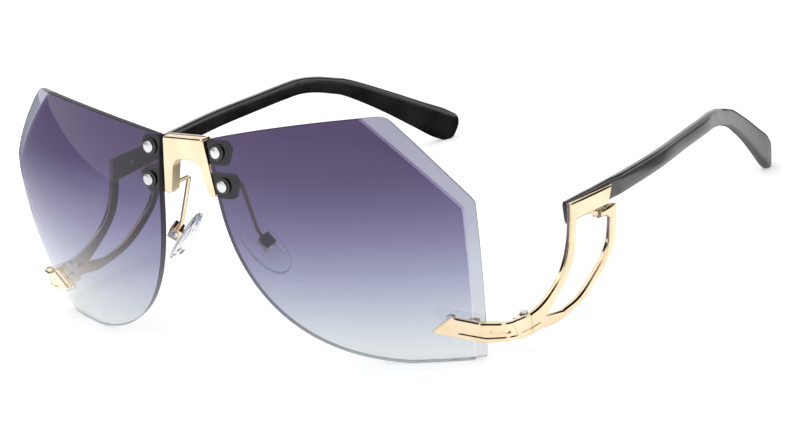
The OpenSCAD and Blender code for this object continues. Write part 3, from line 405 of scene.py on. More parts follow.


# Glass whose colour fades with height over the table, with a faint clouding of the coating: the lens's own tint, and
# on the rim painted shade and on the bevel's fine line a painted highlight.
def makeLensGlass(name, stops, rough=0.0, glass=1.0, ior=1.5):
    material, tree, shader = newMaterial(name)
    place = tree.nodes.new("ShaderNodeTexCoord").outputs["Object"]
    level = addNode(tree, "ShaderNodeSeparateXYZ", Vector=place).outputs["Z"]
    cloud = addNode(tree, "ShaderNodeTexNoise", Vector=place, Scale=lensLook["cloudScale"], Detail=3.0)
    drifted = addMath(tree, "MULTIPLY_ADD", cloud.outputs[0], lensLook["cloudDrift"], level)
    share = addMath(tree, "DIVIDE", drifted, lensLook["height"] / 1000)
    colour = addRamp(tree, [(z / lensLook["height"], tint) for z, tint in stops], share)
    feedInputs(tree, shader, {"Base Color": colour, "Transmission Weight": glass, "Roughness": rough, "IOR": ior})
    letLampsThrough(tree, shader, colour)
    return material


gold, steel, enamel, acetate, silicone, clearPlate = (makeFinish(name) for name in finishLooks)
lensGlass = makeLensGlass("lensGlass", lensLook["fade"])
bevelGlass = makeLensGlass("lensBevel", lensLook["bevelFade"], 0.02)
# Painted highlight: a thin ring of pale glass along the bevel's inner edge stands in for the light that edge catches.
highlightLineGlass = makeLensGlass("lensBevelHighlightLine", lensLook["highlightLineFade"], 0.15)
# Painted shade: the rim is dark, part-opaque glass, darkest at the top, standing in for the dark outline along the
# lens's edge.
rimShadeGlass = makeLensGlass("lensRimPaintedShade", lensLook["rim"], 0.25, 0.35, 1.12)
print("stage: materials made")

lensSizes = dict(
    thick=2.0, radius=120.0, apex=(10.9, 41.6), centreY=118.761, innerTop=(7.4, 58.437), outerTop=(55.6908, 64.5),
    outerPoint=(74.1, 42.054), foot=(67.43, -0.387), flatEnd=(58.9591, -0.387), noseTop=(9.6678, 41.022),
    nosePull=(29.6148, 27.6138), roundings=(1.2, 4.5, 3.0, 1.4), bulges=(1.15, 0.7, 1.5), middle=(40.0, 32.0),
    # the line width is how wide the ring with the painted highlight is
    bevelWidths=(4.3, 2.9, 2.7), bevelDepth=1.0, rimRound=0.16, highlightLineWidth=0.3, innerRings=14)


# Front face of a lens: a sphere about a centre behind it, so y is the centre's y less the root of what is left.
def lensFront(x, z):
    s = lensSizes
    return s["centreY"] - np.sqrt(s["radius"] ** 2 - (x - s["apex"][0]) ** 2 - (z - s["apex"][1]) ** 2)


def lensCentre():
    return np.array([lensSizes["apex"][0], lensSizes["centreY"], lensSizes["apex"][1]])


# Point over the front face at a height along the sphere's own radius.
def overLens(x, z, height):
    front = np.stack([x, lensFront(x, z), z], -1)
    return front + (front - lensCentre()) / lensSizes["radius"] * np.asarray(height)[..., None]


# Lens outline seen from the front: five rounded corners with bulged edges, closed by one cubic curve along the nose.
def lensOutline():
    s = lensSizes
    nEdge, nRound, nNose = 60, 10, 90  # steps along an edge, a corner and the nose
    top, slant, side = s["bulges"]
    r = s["roundings"]
    corners = [(*s["noseTop"], 0, 0), (*s["innerTop"], r[0], top), (*s["outerTop"], r[1], slant),
               (*s["outerPoint"], r[2], side), (*s["foot"], r[3], 0), (*s["flatEnd"], 0, 0)]
    body = roundedOutline(corners, nEdge, nRound)
    body = body[:len(body) - (nEdge - 1)]  # the last edge is replaced by the nose curve
    t = (np.arange(1, nNose) / nNose)[:, None]
    a, d = np.array(s["flatEnd"]), np.array(s["noseTop"])
    down = unit(d - np.array(s["innerTop"]))
    b, c = a - [s["nosePull"][0], 0], d + down * s["nosePull"][1]
    nose = a * (1 - t) ** 3 + 3 * b * t * (1 - t) ** 2 + 3 * c * t ** 2 * (1 - t) + d * t ** 3
    return np.vstack([body, nose])


# Distance inside (negative) or outside (positive) of the two inner lines of the bevel, each a long bulged arc,
# divided by the bevel's width there, so 1 is the lens's edge.
def bevelShare(p):
    s = lensSizes
    top, point, foot = (np.array(s[k]) for k in ("outerTop", "outerPoint", "foot"))
    wTop, wPoint, wSide = s["bevelWidths"]
    slant, side = unit(point - top), unit(foot - point)
    a, c = top - leftOf(slant) * wTop, foot - leftOf(side) * wSide
    onSide = point - leftOf(side) * wSide
    b = onSide + side * (wPoint - (point - onSide) @ leftOf(slant)) / -(side @ leftOf(slant))
    shares = []
    for start, end, bulge, width in ((a, b, s["bulges"][1], wTop), (b, c, s["bulges"][2], wSide)):
        chord = np.linalg.norm(end - start)
        r = chord ** 2 / 8 / bulge + bulge / 2
        u = (end - start) / chord
        hub = (start + end) / 2 - leftOf(u) * (r - bulge)
        shares.append((np.linalg.norm(p - hub, axis=-1) - r) / width)
    return np.maximum(*shares)


# Lens: rays from the middle to each point of the outline, cut by rings. Rings run evenly out to the bevel's inner
# line, over a thin ring that carries a painted highlight, down the bevel, round the rim and back along the inner face.
def lensSurface():
    s = lensSizes
    count, thick, r = s["innerRings"], s["thick"], s["rimRound"]
    outline = lensOutline()
    outline[:, 1] = np.maximum(outline[:, 1], 0.0)  # flat where the lens stands on the table
    middle = np.array(s["middle"])
    ray = outline - middle
    long = np.linalg.norm(ray, axis=1)

    # shares of each ray at which the bevel starts, its painted highlight line ends and the rim's round begins, kept in
    # that order
    share = np.linspace(0, 1, 400)
    inside = bevelShare(middle + ray[:, None] * share[None, :, None]) < 0
    edge = 1 - r / long
    start = np.minimum(np.where(inside.all(1), 1.0, share[np.argmin(inside, axis=1)]), edge - 0.0005)
    hasBevel = start < edge - 0.002
    highlightLineEnd = np.where(hasBevel, np.minimum(start + s["highlightLineWidth"] / long, edge - 0.0003), start + 0.0002)

    def depthAt(p):
        return np.clip(bevelShare(p), 0, 1.3) * s["bevelDepth"]

    rings, kinds = [], []

    def addRing(p, depth, kind):
        rings.append(overLens(p[:, 0], p[:, 1], -depth))
        kinds.append(kind)

    front = [(start * k / count, "front") for k in range(1, count + 1)]
    for value, kind in front + [(highlightLineEnd, "line"), ((highlightLineEnd + edge) / 2, "bevel"), (edge, "bevel")]:
        p = middle + ray * value[:, None]
        addRing(p, depthAt(p), kind)
    # down the rim: depth under the front face, and how much of the round the ring is drawn in
    rim = depthAt(outline)
    for depth, inset in ((rim + r * 0.4, 0.3), (rim + r, 0.0), (rim + r + 0.1, 0.0), (thick - r - 0.1, 0.0),
                         (thick - r, 0.0), (thick - r * 0.4, 0.3)):
        addRing(outline - unit(ray) * (r * inset), depth, "rim")
    addRing(middle + ray * edge[:, None], thick, "rim")
    for k in range(count, 0, -1):
        addRing(middle + ray * (start * k / count)[:, None], thick, "back" if k < count else "bevel")
    rings = np.array(rings)
    rings[:, :, 2] = np.maximum(rings[:, :, 2], 0.0)

    rows, cols = rings.shape[:2]
    hubs = [overLens(*middle, 0.0), overLens(*middle, -thick)]
    points = np.vstack([rings.reshape(-1, 3), hubs])
    j, last = np.arange(cols), (rows - 1) * cols
    after = (j + 1) % cols
    faces = ringFaces(rows, cols)
    faces += np.stack([np.full(cols, rows * cols), j, after], 1).tolist()
    faces += np.stack([np.full(cols, rows * cols + 1), last + after, last + j], 1).tolist()
    # finish of each ring of faces, where there is a bevel and where there is none
    finishOf = {"front": (0, 0), "back": (0, 0), "line": (1, 0), "bevel": (2, 0), "rim": (2, 3)}
    marks = [np.where(hasBevel, *finishOf[kind]) for kind in kinds[1:]] + [np.zeros(2 * cols, int)]
    return (points, faces), np.concatenate(marks)


lensShape, lensMarks = lensSurface()
lensFinishes = [lensGlass, highlightLineGlass, bevelGlass, rimShadeGlass]
for name, side in sides.items():
    makePiece("lens_shell_" + name, lensShape, lensFinishes, "front", ["lens_" + name], side,
              sharp=18, marks=lensMarks)
print("stage: lenses made")

bridgeSizes = dict(
    tilt=1.0, ahead=0.5, top=6.4, foot=8.3142, tall=14.7, footWidth=2.2, notch=(4.0, 5.8), roundings=(0.8, 0.9, 2.6),
    thick=3.4, chamfer=0.32, backChamfer=0.12, screws=((10.7776, 55.537), (11.8585, 47.237)), washer=(2.1, 0.45),
    washerHole=0.75, washerLift=0.05, washerEdge=0.1, holeEdge=0.3, head=(1.45, 0.62), headLift=0.12, headEdge=0.05,
    dome=0.16, domeIn=0.12, shank=0.7, shankDepth=6.0)


def coverOutline():
    s = bridgeSizes
    topRound, footRound, notchRound = s["roundings"]
    inner = s["foot"] - s["footWidth"]
    right = [(s["top"], 0, topRound, 0), (s["foot"], -s["tall"], footRound, 0), (inner, -s["tall"], footRound, 0),
             (s["notch"][0], -s["notch"][1], notchRound, 0)]
    left = [(-x, y, r, 0) for x, y, r, _ in reversed(right)]
    return roundedOutline(right + left, 10, 12)


# Bridge cover: the outline, drawn in ring by ring for its chamfers, leaning back by the bridge's tilt.
def placeOnBridge(p, depth):
    s = bridgeSizes
    a = math.radians(s["tilt"])
    y = depth * math.cos(a) + p[:, 1] * math.sin(a) - s["ahead"]
    z = -depth * math.sin(a) + p[:, 1] * math.cos(a) + lensSizes["innerTop"][1]
    return np.stack([p[:, 0], y, z], 1)


coverProfile = plateProfile(bridgeSizes["thick"], bridgeSizes["chamfer"], bridgeSizes["backChamfer"])
coverShape = ringSurface(plateRings(coverOutline(), coverProfile, placeOnBridge))
makePiece("bridge_front", coverShape, gold, "front", ["bridge_cover"])


# Turned shape: a profile of (radius, height) pairs carried round an axis that starts at a point.
def turnedSurface(profile, origin, axis, count=48):
    axis = unit(axis)
    across = unit(np.cross(axis, [0.3, 0.2, 1.0]))
    third = np.cross(axis, across)
    a = roundAngles(count)
    ring = np.cos(a)[:, None] * across + np.sin(a)[:, None] * third
    return np.stack([np.asarray(origin) + r * ring + h * axis for r, h in profile])


# Low dome: the height falls as a circle's does, from its rim up to its middle.
def domeProfile(radius, height, base, n=10):
    ball = (radius ** 2 + height ** 2) / height / 2
    r = radius * np.sin(np.linspace(np.pi / 2, 0.02, n))
    return [(k, base + height - ball + math.sqrt(ball ** 2 - k ** 2)) for k in r]


# One surface from several, with the point numbers of each moved on.
def joinSurfaces(parts):
    points, faces, base = [], [], 0
    for p, f in parts:
        points.append(p)
        faces += [[i + base for i in face] for face in f]
        base += len(p)
    return np.vstack(points), faces


# Black washers with a soft edge, and screws with a round head whose face is a low dome.
def bridgeFittings():
    s = bridgeSizes
    r, t = s["washer"]
    hole, lift, b = s["washerHole"], s["washerLift"], s["washerEdge"]
    top = lift + t
    washer = [(hole, lift), (r, lift), (r, top - b), (r - 0.3 * b, top - 0.3 * b), (r - b, top),
              (hole + s["holeEdge"], top),
              (hole, top - b), (hole, lift)]
    head, tall = s["head"]
    base, inner = t + s["headLift"], head - s["headEdge"]
    screw = [(s["shank"], -s["shankDepth"]), (s["shank"], base), (inner, base), (head, base + 0.06),
             (head, base + tall - 0.3), (inner, base + tall - 0.2)]
    screw += domeProfile(head - s["domeIn"], s["dome"], base + tall - s["dome"])
    washers, screws = [], []
    for x, z in s["screws"]:
        front = overLens(x, z, 0.0)
        n = unit(front - lensCentre())
        washers.append(ringSurface(turnedSurface(washer, front, n), (False, False)))
        screws.append(ringSurface(turnedSurface(screw, front, n)))
    return joinSurfaces(washers), joinSurfaces(screws)


def bothSides(surface):
    points, faces = surface
    return joinSurfaces([surface, (points * [-1, 1, 1], [face[::-1] for face in faces])])


washerShape, screwShape = bridgeFittings()
makePiece("bridge_rings", bothSides(washerShape), enamel, "front", ["bridge_washers"], sharp=40)
makePiece("bridge_screw_heads", bothSides(screwShape), steel, "front", ["bridge_screws"], sharp=40)
roundedCopy("bridge_plate", enamel, 0.15, "front")
roundedCopy("bridge_nuts", steel, 0.1, "front")
print("stage: bridge made")

# The hinge's three knuckles stand one above the other; the middle one belongs to the temple.
hingeSizes = dict(at=(73.23, 30.6206), knuckle=1.3, room=1.42, low=(3.9, 5.55), middle=(5.67, 7.33), high=(7.45, 9.1),
                  middleRoom=(5.5, 7.5), roomPast=0.8, leafLong=3.4, leafIn=0.7, leafOut=0.9, templeLeafOut=1.05)
hx, hy = hingeSizes["at"]
hingeAxis = np.array([hx, hy, 0])

# Corners and curve points of the front are shares of its length and height over the seam.
templeFrontSizes = dict(
    long=40.2, tall=23.5, seam=6.5, band=5.2, outer=2.2, thick=1.45, plate=0.8, chamfer=0.46, backChamfer=0.12,
    hook=((-1.25, 32.8, 23.2), (1.4, 39.6, 24.2)), ahead=1.5, aheadCut=((-3, -4, 1), (4, 0.06, 13)),
    groove=((1.9, -0.5, 5.55), (2.6, 3.4, 6.15)), steps=5,
    outerArm=[(0.105, 0.135), (0.222, 0.206), (0.38, 0.37), (0.473, 0.604), (0.514, 0.821), (0.539, 1)],
    plateEnd=[(0.98, 0.966), (0.915, 0.774)],
    innerFront=[(0.58, 0.804), (0.538, 0.553), (0.468, 0.353), (0.348, 0.187), (0.162, 0)],
    innerRear=[(0.325, -0.043), (0.512, 0.009), (0.717, 0.187), (0.832, 0.319), (0.887, 0.455), (0.92, 0.634)],
    head=[(0.887, 0.668), (0.812, 0.685), (0.832, 0.753), (0.995, 0.749)],
    outerRear=[(1, 0.715), (0.95, 0.417), (0.892, 0.285), (0.762, 0.115), (0.545, -0.064), (0.267, -0.14),
               (0.115, -0.111)])


# Outline of a temple's front seen from outside, from its hinge: smooth edges of the two arms between square corners.
def frontOutline():
    s = templeFrontSizes
    high, low = s["seam"] + s["band"] / 2, s["seam"] - s["band"] / 2

    def at(rows):
        return np.array(rows) * [s["long"], s["tall"]] + [0, s["seam"]]

    def curve(*rows):
        return smoothCurve(np.vstack(rows), s["steps"])

    return np.vstack([[[-s["ahead"], high]], curve([[0.0, high]], at(s["outerArm"])), at(s["plateEnd"]),
                      curve(at(s["innerFront"])), curve(at(s["innerRear"])), at(s["head"]),
                      curve(at(s["outerRear"]), [[0.0, low]]), [[-s["ahead"], low]]])


# Plate beside the hinge: the outline's y runs back from the hinge axis, and depth goes inwards from the outer face.
def placeOnTemple(p, depth):
    return np.stack([np.full(len(p), hx + templeFrontSizes["outer"] - depth), hy + p[:, 0], p[:, 1]], 1)


def boxSurface(low, high):
    corners = [[x, y, z] for x in (low[0], high[0]) for y in (low[1], high[1]) for z in (low[2], high[2])]
    faces = [[0, 1, 3, 2], [4, 6, 7, 5], [0, 4, 5, 1], [2, 3, 7, 6], [0, 2, 6, 4], [1, 5, 7, 3]]
    return np.array(corners, float), faces


# Box between two corners given from the hinge's axis.
def boxAtHinge(corners):
    return boxSurface(*(hingeAxis + corner for corner in corners))


# Upright rod about the hinge's axis.
def rodSurface(radius, low, high):
    return ringSurface(turnedSurface([(radius, low), (radius, high)], hingeAxis, (0, 0, 1)))


# Cuts a closed shape out of a piece for good.
def carve(piece, cutterShape, side):
    cutter = addObject("cutter", makeMesh("cutter", cutterShape, side))
    cut = piece.modifiers.new("cut", "BOOLEAN")
    cut.object = cutter
    cut.operation = "DIFFERENCE"
    cut.solver = "EXACT"
    whole = piece.evaluated_get(bpy.context.evaluated_depsgraph_get())
    carved = bpy.data.meshes.new_from_object(whole)
    piece.modifiers.clear()
    piece.data = carved
    smoothUpTo(carved, 30)
    bpy.data.objects.remove(cutter)


# Plate of the temple's front, and apart from it the middle knuckle, its leaf and the hook under the fold.
def templeFrontShape():
    f, h = templeFrontSizes, hingeSizes
    profile = plateProfile(f["thick"], f["chamfer"], f["backChamfer"])
    plate = ringSurface(plateRings(frontOutline(), profile, placeOnTemple))
    low, high = h["middle"]
    leaf = boxSurface((hx - h["leafIn"], hy, low), (hx + h["templeLeafOut"], hy + h["leafLong"], high))
    return plate, joinSurfaces([rodSurface(h["knuckle"], low, high), leaf, boxAtHinge(f["hook"])])


# What is cut out of the plate: all ahead of the seam, room for the two outer knuckles and the end of the groove.
def frontCutters():
    f, h = templeFrontSizes, hingeSizes
    return [boxAtHinge(f["aheadCut"]), rodSurface(h["room"], h["low"][0] - h["roomPast"], h["middle"][0]),
            rodSurface(h["room"], h["middle"][1], h["high"][1] + h["roomPast"]), boxAtHinge(f["groove"])]


frontPlate, frontHinge = templeFrontShape()
for name, side in sides.items():
    plate = makePiece("temple_front_" + name, frontPlate, gold, "temple_" + name, ["temple_frame_" + name],
                      side, sharp=24)
    for cutterShape in frontCutters():
        carve(plate, cutterShape, side)
    makePiece("temple_hinge_" + name, frontHinge, gold, "temple_" + name, side=side, sharp=40)
print("stage: temple fronts made")

endpieceSizes = dict(
    tip=58.27, slant=5.6, recessFrom=62.5, lensEnd=70.0, over=1.05, midAt=(69.4737, 7.9), fall=0.392857,
    outer=75.55, corner=-0.0704, along=29.2167, lean=19.0591, bend=4.32, origin=(22.0206, 7.4), hingeEnd=30.56,
    tall=(6.0, 5.2), thin=1.0, thick=1.6, thickFrom=69.5, chamfer=0.34, backChamfer=0.15, recess=(1.5, 0.3),
    recessWalls=(0.26, 0.08), slot=(71.25, -26.6), slotHalf=0.45, recessEnd=-5.4, groove=(25.42, 0.3),
    grooveHeights=(-1.08, -0.84, -0.52), taper=(68, 6), blend=(67.6, 2.4), straightEnd=75.0, step=0.05,
    plainRows=(60, 61.4), recessRows=(64, 65.5, 67, 68.2, 69.2, 69.7), slotRows=(70.6, 72.0, 72.7), slotTurns=7,
    turnRows=(-18, -10), sideRows=(24.6, 28, 30.4), bendTaller=0.1, endChamfer=0.4,
    studs=((66.83, 8.94), (62.63, 10.59)), stud=0.6, studDepth=4.3, studTop=0.5)


# Endpiece: a bar whose section is carried over the lens, round a bend and back to the hinge. Each row of the grid is
# one station of the path; each column is a height over the bar's middle line and a depth under its outer face,
# so chamfers, recess and groove are changes of depth, and the slot is a block of cells left out of both faces.
def endpieceSurface():
    s = endpieceSizes
    a, lean = math.radians(s["along"]), math.radians(s["lean"])
    oy, oz = s["origin"]
    reach = s["bend"] * math.tan((math.pi / 2 - a) / 2)
    hub = np.array([s["outer"] - s["bend"], s["corner"] + reach])
    w, c, b, g = s["recess"][0], s["chamfer"], s["backChamfer"], s["slotHalf"]
    front, back = s["tall"]
    seam, hingeEnd = templeFrontSizes["seam"], s["hingeEnd"]
    lowWall, highWall = s["recessWalls"]

    # heights of the columns, up the outer face and down the inner one, and what each column belongs to
    def heights(h):
        return np.array([-h / 2, -h / 2 + c, -w, -w + lowWall, *s["grooveHeights"], -g, g, w - highWall, w, h / 2 - c,
                         h / 2, h / 2, h / 2 - b, g, -g, -h / 2 + b, -h / 2])

    inRecess = np.array([0] * 3 + [1] * 7 + [0] * 9)
    inGroove = np.array([0] * 5 + [1] * 2 + [0] * 12)
    isInner = np.array([0] * 13 + [1] * 6)
    inset = np.array([c] + [0] * 11 + [c, b, 0, 0, 0, 0, b])
    low, high, innerHigh, innerLow = 7, 8, 15, 16  # the columns that bound the slot
    limit = np.where(inset > 0, c, np.inf)

    # point of the leaning band at a place of its plan and a height, with the normal of its outer face
    def bandAt(pa, pb, height, n):
        up = (height - oz - pb * math.sin(lean)) / math.cos(lean)
        point = np.stack([pa + 0 * height, oy + pb * math.cos(lean) - up * math.sin(lean), height], -1)
        normal = np.broadcast_to([n[0], n[1] * math.cos(lean), n[1] * math.sin(lean)], point.shape)
        return point, normal

    def straightAt(x, height):
        t = (s["outer"] - x) / math.cos(a)
        return bandAt(x, s["corner"] - t * math.sin(a), height, (math.sin(a), -math.cos(a)))

    # how tall the bar is at a station of its front part, and where its middle lies behind the bend
    def tallAt(x):
        return front + (back - front) * max(0, (x - s["taper"][0]) / s["taper"][1])

    def sideMiddle(y):
        return oz + (seam - oz) * (y - oy) / (hingeEnd - oy)

    rows, marks = [], []

    def addRow(point, normal, depth, end, slot, thick):
        outerDepth = inset + inRecess * depth[0] + inGroove * depth[1] + end * c
        under = np.where(isInner == 1, thick - inset, np.minimum(outerDepth, limit))
        rows.append(point - normal * under[:, None])
        marks.append(slot)

    # over the lens, with a slanting tip, and on to the bend
    r0, step = s["recessFrom"], s["step"]
    lensRows = [(s["tip"], 0, 1)] + [(x, 0, 0) for x in (s["tip"] + 0.42, *s["plainRows"], r0 - step)]
    lensRows += [(x, 1, 0) for x in (r0 + step, *s["recessRows"], s["lensEnd"])]
    for x0, recessed, end in lensRows:
        v = heights(tallAt(x0))
        slant = s["slant"] * min(1, (s["lensEnd"] - x0) / (s["lensEnd"] - r0))
        x = x0 + slant * (v / front + 0.5)
        height = s["midAt"][1] + (s["midAt"][0] - x) * s["fall"] + v
        lens = overLens(x, height, s["over"])
        lensNormal = unit(lens - lensCentre())
        band, bandNormal = straightAt(x, height)
        t = eased(np.clip((x - s["blend"][0]) / s["blend"][1], 0, 1))[:, None]
        thick = s["thin"] if x0 < s["thickFrom"] else s["thick"]
        addRow(lens * (1 - t) + band * t, unit(lensNormal * (1 - t) + bandNormal * t),
               (s["recess"][1] * recessed, 0), end, 0, thick)
    bendX = s["outer"] - reach * math.cos(a)
    midEnd = s["midAt"][1] + (s["midAt"][0] - s["lensEnd"]) * s["fall"]
    straight = s["straightEnd"] - s["lensEnd"]
    for x in sorted((s["slot"][0], *s["slotRows"])):
        v = heights(tallAt(x))
        height = midEnd + (oz - midEnd) * (x - s["lensEnd"]) / straight + v
        addRow(*straightAt(x + 0 * v, height), (s["recess"][1], 0), 0, int(x >= s["slot"][0]), s["thick"])

    # round the bend; the slot ends within its first rows and the recess a little later
    n, end = s["slotTurns"], s["recessEnd"]
    turns = np.concatenate([np.linspace(a - np.pi / 2, math.radians(s["slot"][1]), n),
                            np.radians([*s["turnRows"], end - 0.6, end + 0.6, 0])])
    for k, turn in enumerate(turns):
        share = min(1.0, (bendX - s["lensEnd"] + 1.1 * k * (s["straightEnd"] - bendX) / (n - 1)) / straight)
        v = heights(back + s["bendTaller"] * max(0, 1 - k / 4))
        pa, pb = hub + s["bend"] * np.array([math.cos(turn), math.sin(turn)])
        yMid = oy + pb * math.cos(lean)
        mid = midEnd + (oz - midEnd) * share if yMid < oy else sideMiddle(yMid)
        deep = s["recess"][1] if turn < math.radians(end) else 0
        addRow(*bandAt(pa, pb, mid + v, (math.cos(turn), math.sin(turn))), (deep, 0), 0, int(k < n), s["thick"])

    # back along the side; rows stand upright again by the hinge
    last = rows[-1][:, 1].copy()
    v = heights(back)
    grooveFrom, grooveDepth = s["groove"]
    for y in sorted((*s["sideRows"], grooveFrom - step, grooveFrom + step, hingeEnd)):
        yy = last + (hingeEnd - last) * (y - oy - 2.3) / (hingeEnd - oy - 2.3)
        point = np.stack([np.full(len(v), s["outer"]), yy, sideMiddle(yy) + v], -1)
        grooved = grooveDepth if y > grooveFrom else 0
        addRow(point, np.array([1.0, 0, 0]), (0, grooved), s["endChamfer"] if y == hingeEnd else 0, 0, s["thick"])
    rows = np.array(rows)
    count, cols = rows.shape[:2]
    faces = [list(range(cols)), list(range((count - 1) * cols, count * cols))]
    for i, quad in enumerate(ringFaces(count, cols)):
        row, col = divmod(i, cols)
        isOpen = marks[row] and marks[row + 1]
        if not (isOpen and col in (low, innerHigh)):
            faces.append(quad)
        if isOpen and col == low:
            here, after = row * cols, (row + 1) * cols
            faces += [[here + low, after + low, after + innerLow, here + innerLow],
                      [here + high, after + high, after + innerHigh, here + innerHigh]]
    ends = [i for i in range(1, count) if marks[i] != marks[i - 1]]
    for i in (ends[0], ends[1] - 1):
        faces.append([i * cols + k for k in (low, high, innerHigh, innerLow)])
    return rows.reshape(-1, 3), faces


# Two outer knuckles with their leaves, and two studs through the lens.
def endpieceHinge():
    s, h = endpieceSizes, hingeSizes
    parts = [rodSurface(h["knuckle"], *span) for span in (h["low"], h["high"])]
    parts += [boxSurface((hx - h["leafIn"], hy - h["leafLong"], low), (hx + h["leafOut"], hy, high))
              for low, high in (h["low"], h["high"])]
    stud = [(s["stud"], -s["studDepth"]), (s["stud"], s["studTop"])]
    for x, z in s["studs"]:
        front = overLens(x, z, 0.0)
        parts.append(ringSurface(turnedSurface(stud, front, unit(front - lensCentre()), 24)))
    return joinSurfaces(parts)


endpieceShape, endpieceHingeShape = endpieceSurface(), endpieceHinge()
for name, side in sides.items():
    band = makePiece("endpiece_band_" + name, endpieceShape, gold, "front", ["endpiece_" + name], side,
                     sharp=26)
    carve(band, rodSurface(hingeSizes["room"], *hingeSizes["middleRoom"]), side)
    makePiece("endpiece_hinge_" + name, endpieceHingeShape, gold, "front", side=side, sharp=40)
print("stage: endpieces made")

for name in sides:
    roundedCopy("temple_screws_" + name, steel, 0.08, "temple_" + name)
    roundedCopy("hook_screws_" + name, steel, 0.12, "temple_" + name)
    roundedCopy("backing_plate_" + name, clearPlate, 0.15, "front")
    roundedCopy("hinge_screw_" + name, steel, 0.1, "front")
    roundedCopy("pad_box_" + name, gold, 0.12, "front")
    roundedCopy("pad_screw_" + name, steel, 0.05, "front")
roundedCopy("endpiece_nuts", silicone, 0.15, "front")

# Each row of front and back is a station: how far along the run, and its shares of the rise or fall, of the change
# in height and of the way inwards.
templeSizes = dict(
    width=2.2, start=22.2, bend=94.0, frontHeight=5.9, up=0.35, rise=0.75, height=4.4, paddle=8.8,
    paddleWidth=3.0, tip=45.0, tipZ=3.4, tipIn=20.0, square=4.0, ends=(0.1, 0.36), behindPlate=(0.65, 40.4, 44.0),
    gap=0.05, around=56, steps=10, endAngles=(0.4, 2, 6, 14, 26, 40, 55, 70, 82),
    front=[(0, 0, 0, 0), (0.095, 0.05, 0.14, 0), (0.178, 0.05, 0.31, 0), (0.373, 0.44, 0.6, 0),
           (0.568, 0.78, 0.79, 0.03), (0.763, 0.94, 0.97, 0.13), (0.93, 0.94, 1, 0.215), (1, 0.72, 1, 0.27)],
    back=[(0.11, 0.05, 0, 0.33), (0.22, 0.12, 0.02, 0.41), (0.335, 0.21, 0.09, 0.49), (0.555, 0.464, 0.32, 0.65),
          (0.78, 0.754, 0.7, 0.83), (0.9, 0.91, 0.95, 0.93), (0.97, 1, 0.88, 1)])


# Temple: a curve through stations of the side view carries a section that is a rounded square, whose half width
# and half height are the signed cosine and sine raised to two over the squareness. Both ends close on such a curve.
def templeSurface():
    s, f = templeSizes, templeFrontSizes
    x0 = f["outer"] - f["plate"] - s["gap"] - s["width"] / 2
    frontZ = f["seam"] + f["tall"] + s["up"] - s["frontHeight"] / 2
    crest = frontZ + s["rise"]
    a, b = np.array(s["front"]), np.array(s["back"])
    ahead = np.stack([
        x0 - s["tipIn"] * a[:, 3], s["start"] + (s["bend"] - s["start"]) * a[:, 0], frontZ + s["rise"] * a[:, 1],
        s["frontHeight"] - (s["frontHeight"] - s["height"]) * a[:, 2], np.full(len(a), s["width"])], 1)
    behind = np.stack([
        x0 - s["tipIn"] * b[:, 3], s["bend"] + s["tip"] * b[:, 0], crest - (crest - s["tipZ"]) * b[:, 1],
        s["height"] + (s["paddle"] - s["height"]) * b[:, 2],
        s["width"] + (s["paddleWidth"] - s["width"]) * b[:, 2]], 1)
    stations = smoothCurve(np.vstack([ahead, behind]), s["steps"])
    # behind the gold plate the outer face lies further in
    inset, last, free = s["behindPlate"]
    inset = inset * eased(np.clip((free - stations[:, 1]) / (free - last), 0, 1))
    stations[:, 0] -= inset / 2
    stations[:, 4] -= inset
    middle = stations[:, :3]
    way = directions(middle)
    angle = roundAngles(s["around"], 0.5)

    def ring(p, t, h, w, power):
        side = unit(np.cross(t, [0, 0, 1]))
        up = np.cross(side, t)
        c, d = (signedPower(v, 2 / power) for v in (np.cos(angle), np.sin(angle)))
        return p + np.outer(c * w / 2, side) + np.outer(d * h / 2, up)

    def endRing(i, a, reach, power):
        size = math.sin(a) ** (2 / power)
        p = middle[i] + reach * way[i] * stations[i, 3] * math.cos(a) ** (2 / power)
        return ring(p, way[i], stations[i, 3] * size, stations[i, 4] * size, s["square"])

    angles = np.radians(s["endAngles"])
    rings = [endRing(0, a, -s["ends"][0], s["square"]) for a in angles]
    rings += [ring(middle[i], way[i], stations[i, 3], stations[i, 4], s["square"]) for i in range(len(stations))]
    rings += [endRing(-1, a, s["ends"][1], 2) for a in angles[::-1]]
    rings = np.array(rings) + hingeAxis
    rings[:, :, 2] = np.maximum(rings[:, :, 2], 0)
    return ringSurface(rings)


templeShape = templeSurface()
for name, side in sides.items():
    makePiece("temple_arm_" + name, templeShape, acetate, "temple_" + name, ["temple_" + name],
              side, sharp=60)
print("stage: temples made")

padSizes = dict(long=16.4, wide=7.8, thick=2.4, outerBulge=0.3, innerBulge=0.9, at=(13.0, 10.0, 28.2), slant=45.0,
                splay=28.0, boxFar=4.45, boxNear=1.75, boxTall=3.4, wire=0.55, wireStart=(8.6, 2.1606, 44.837),
                wireBack=7.4, wireBend=2.4, wireOff=1.6, coreShows=1.15, around=96, oval=0.9, faceRings=12,
                wireIn=0.3, wireAround=28, bendSteps=14)


# Turns points of a pad's own space, x outwards and z along it, by its splay and its slant, and puts them in place.
def fromPad(v):
    s = padSizes
    a, b = math.radians(s["slant"]), math.radians(s["splay"])
    x, y, z = np.moveaxis(np.asarray(v, float), -1, 0)
    x, y = x * math.cos(b) + y * math.sin(b), y * math.cos(b) - x * math.sin(b)
    return np.stack([x * math.cos(a) - z * math.sin(a), y, x * math.sin(a) + z * math.cos(a)], -1) + s["at"]


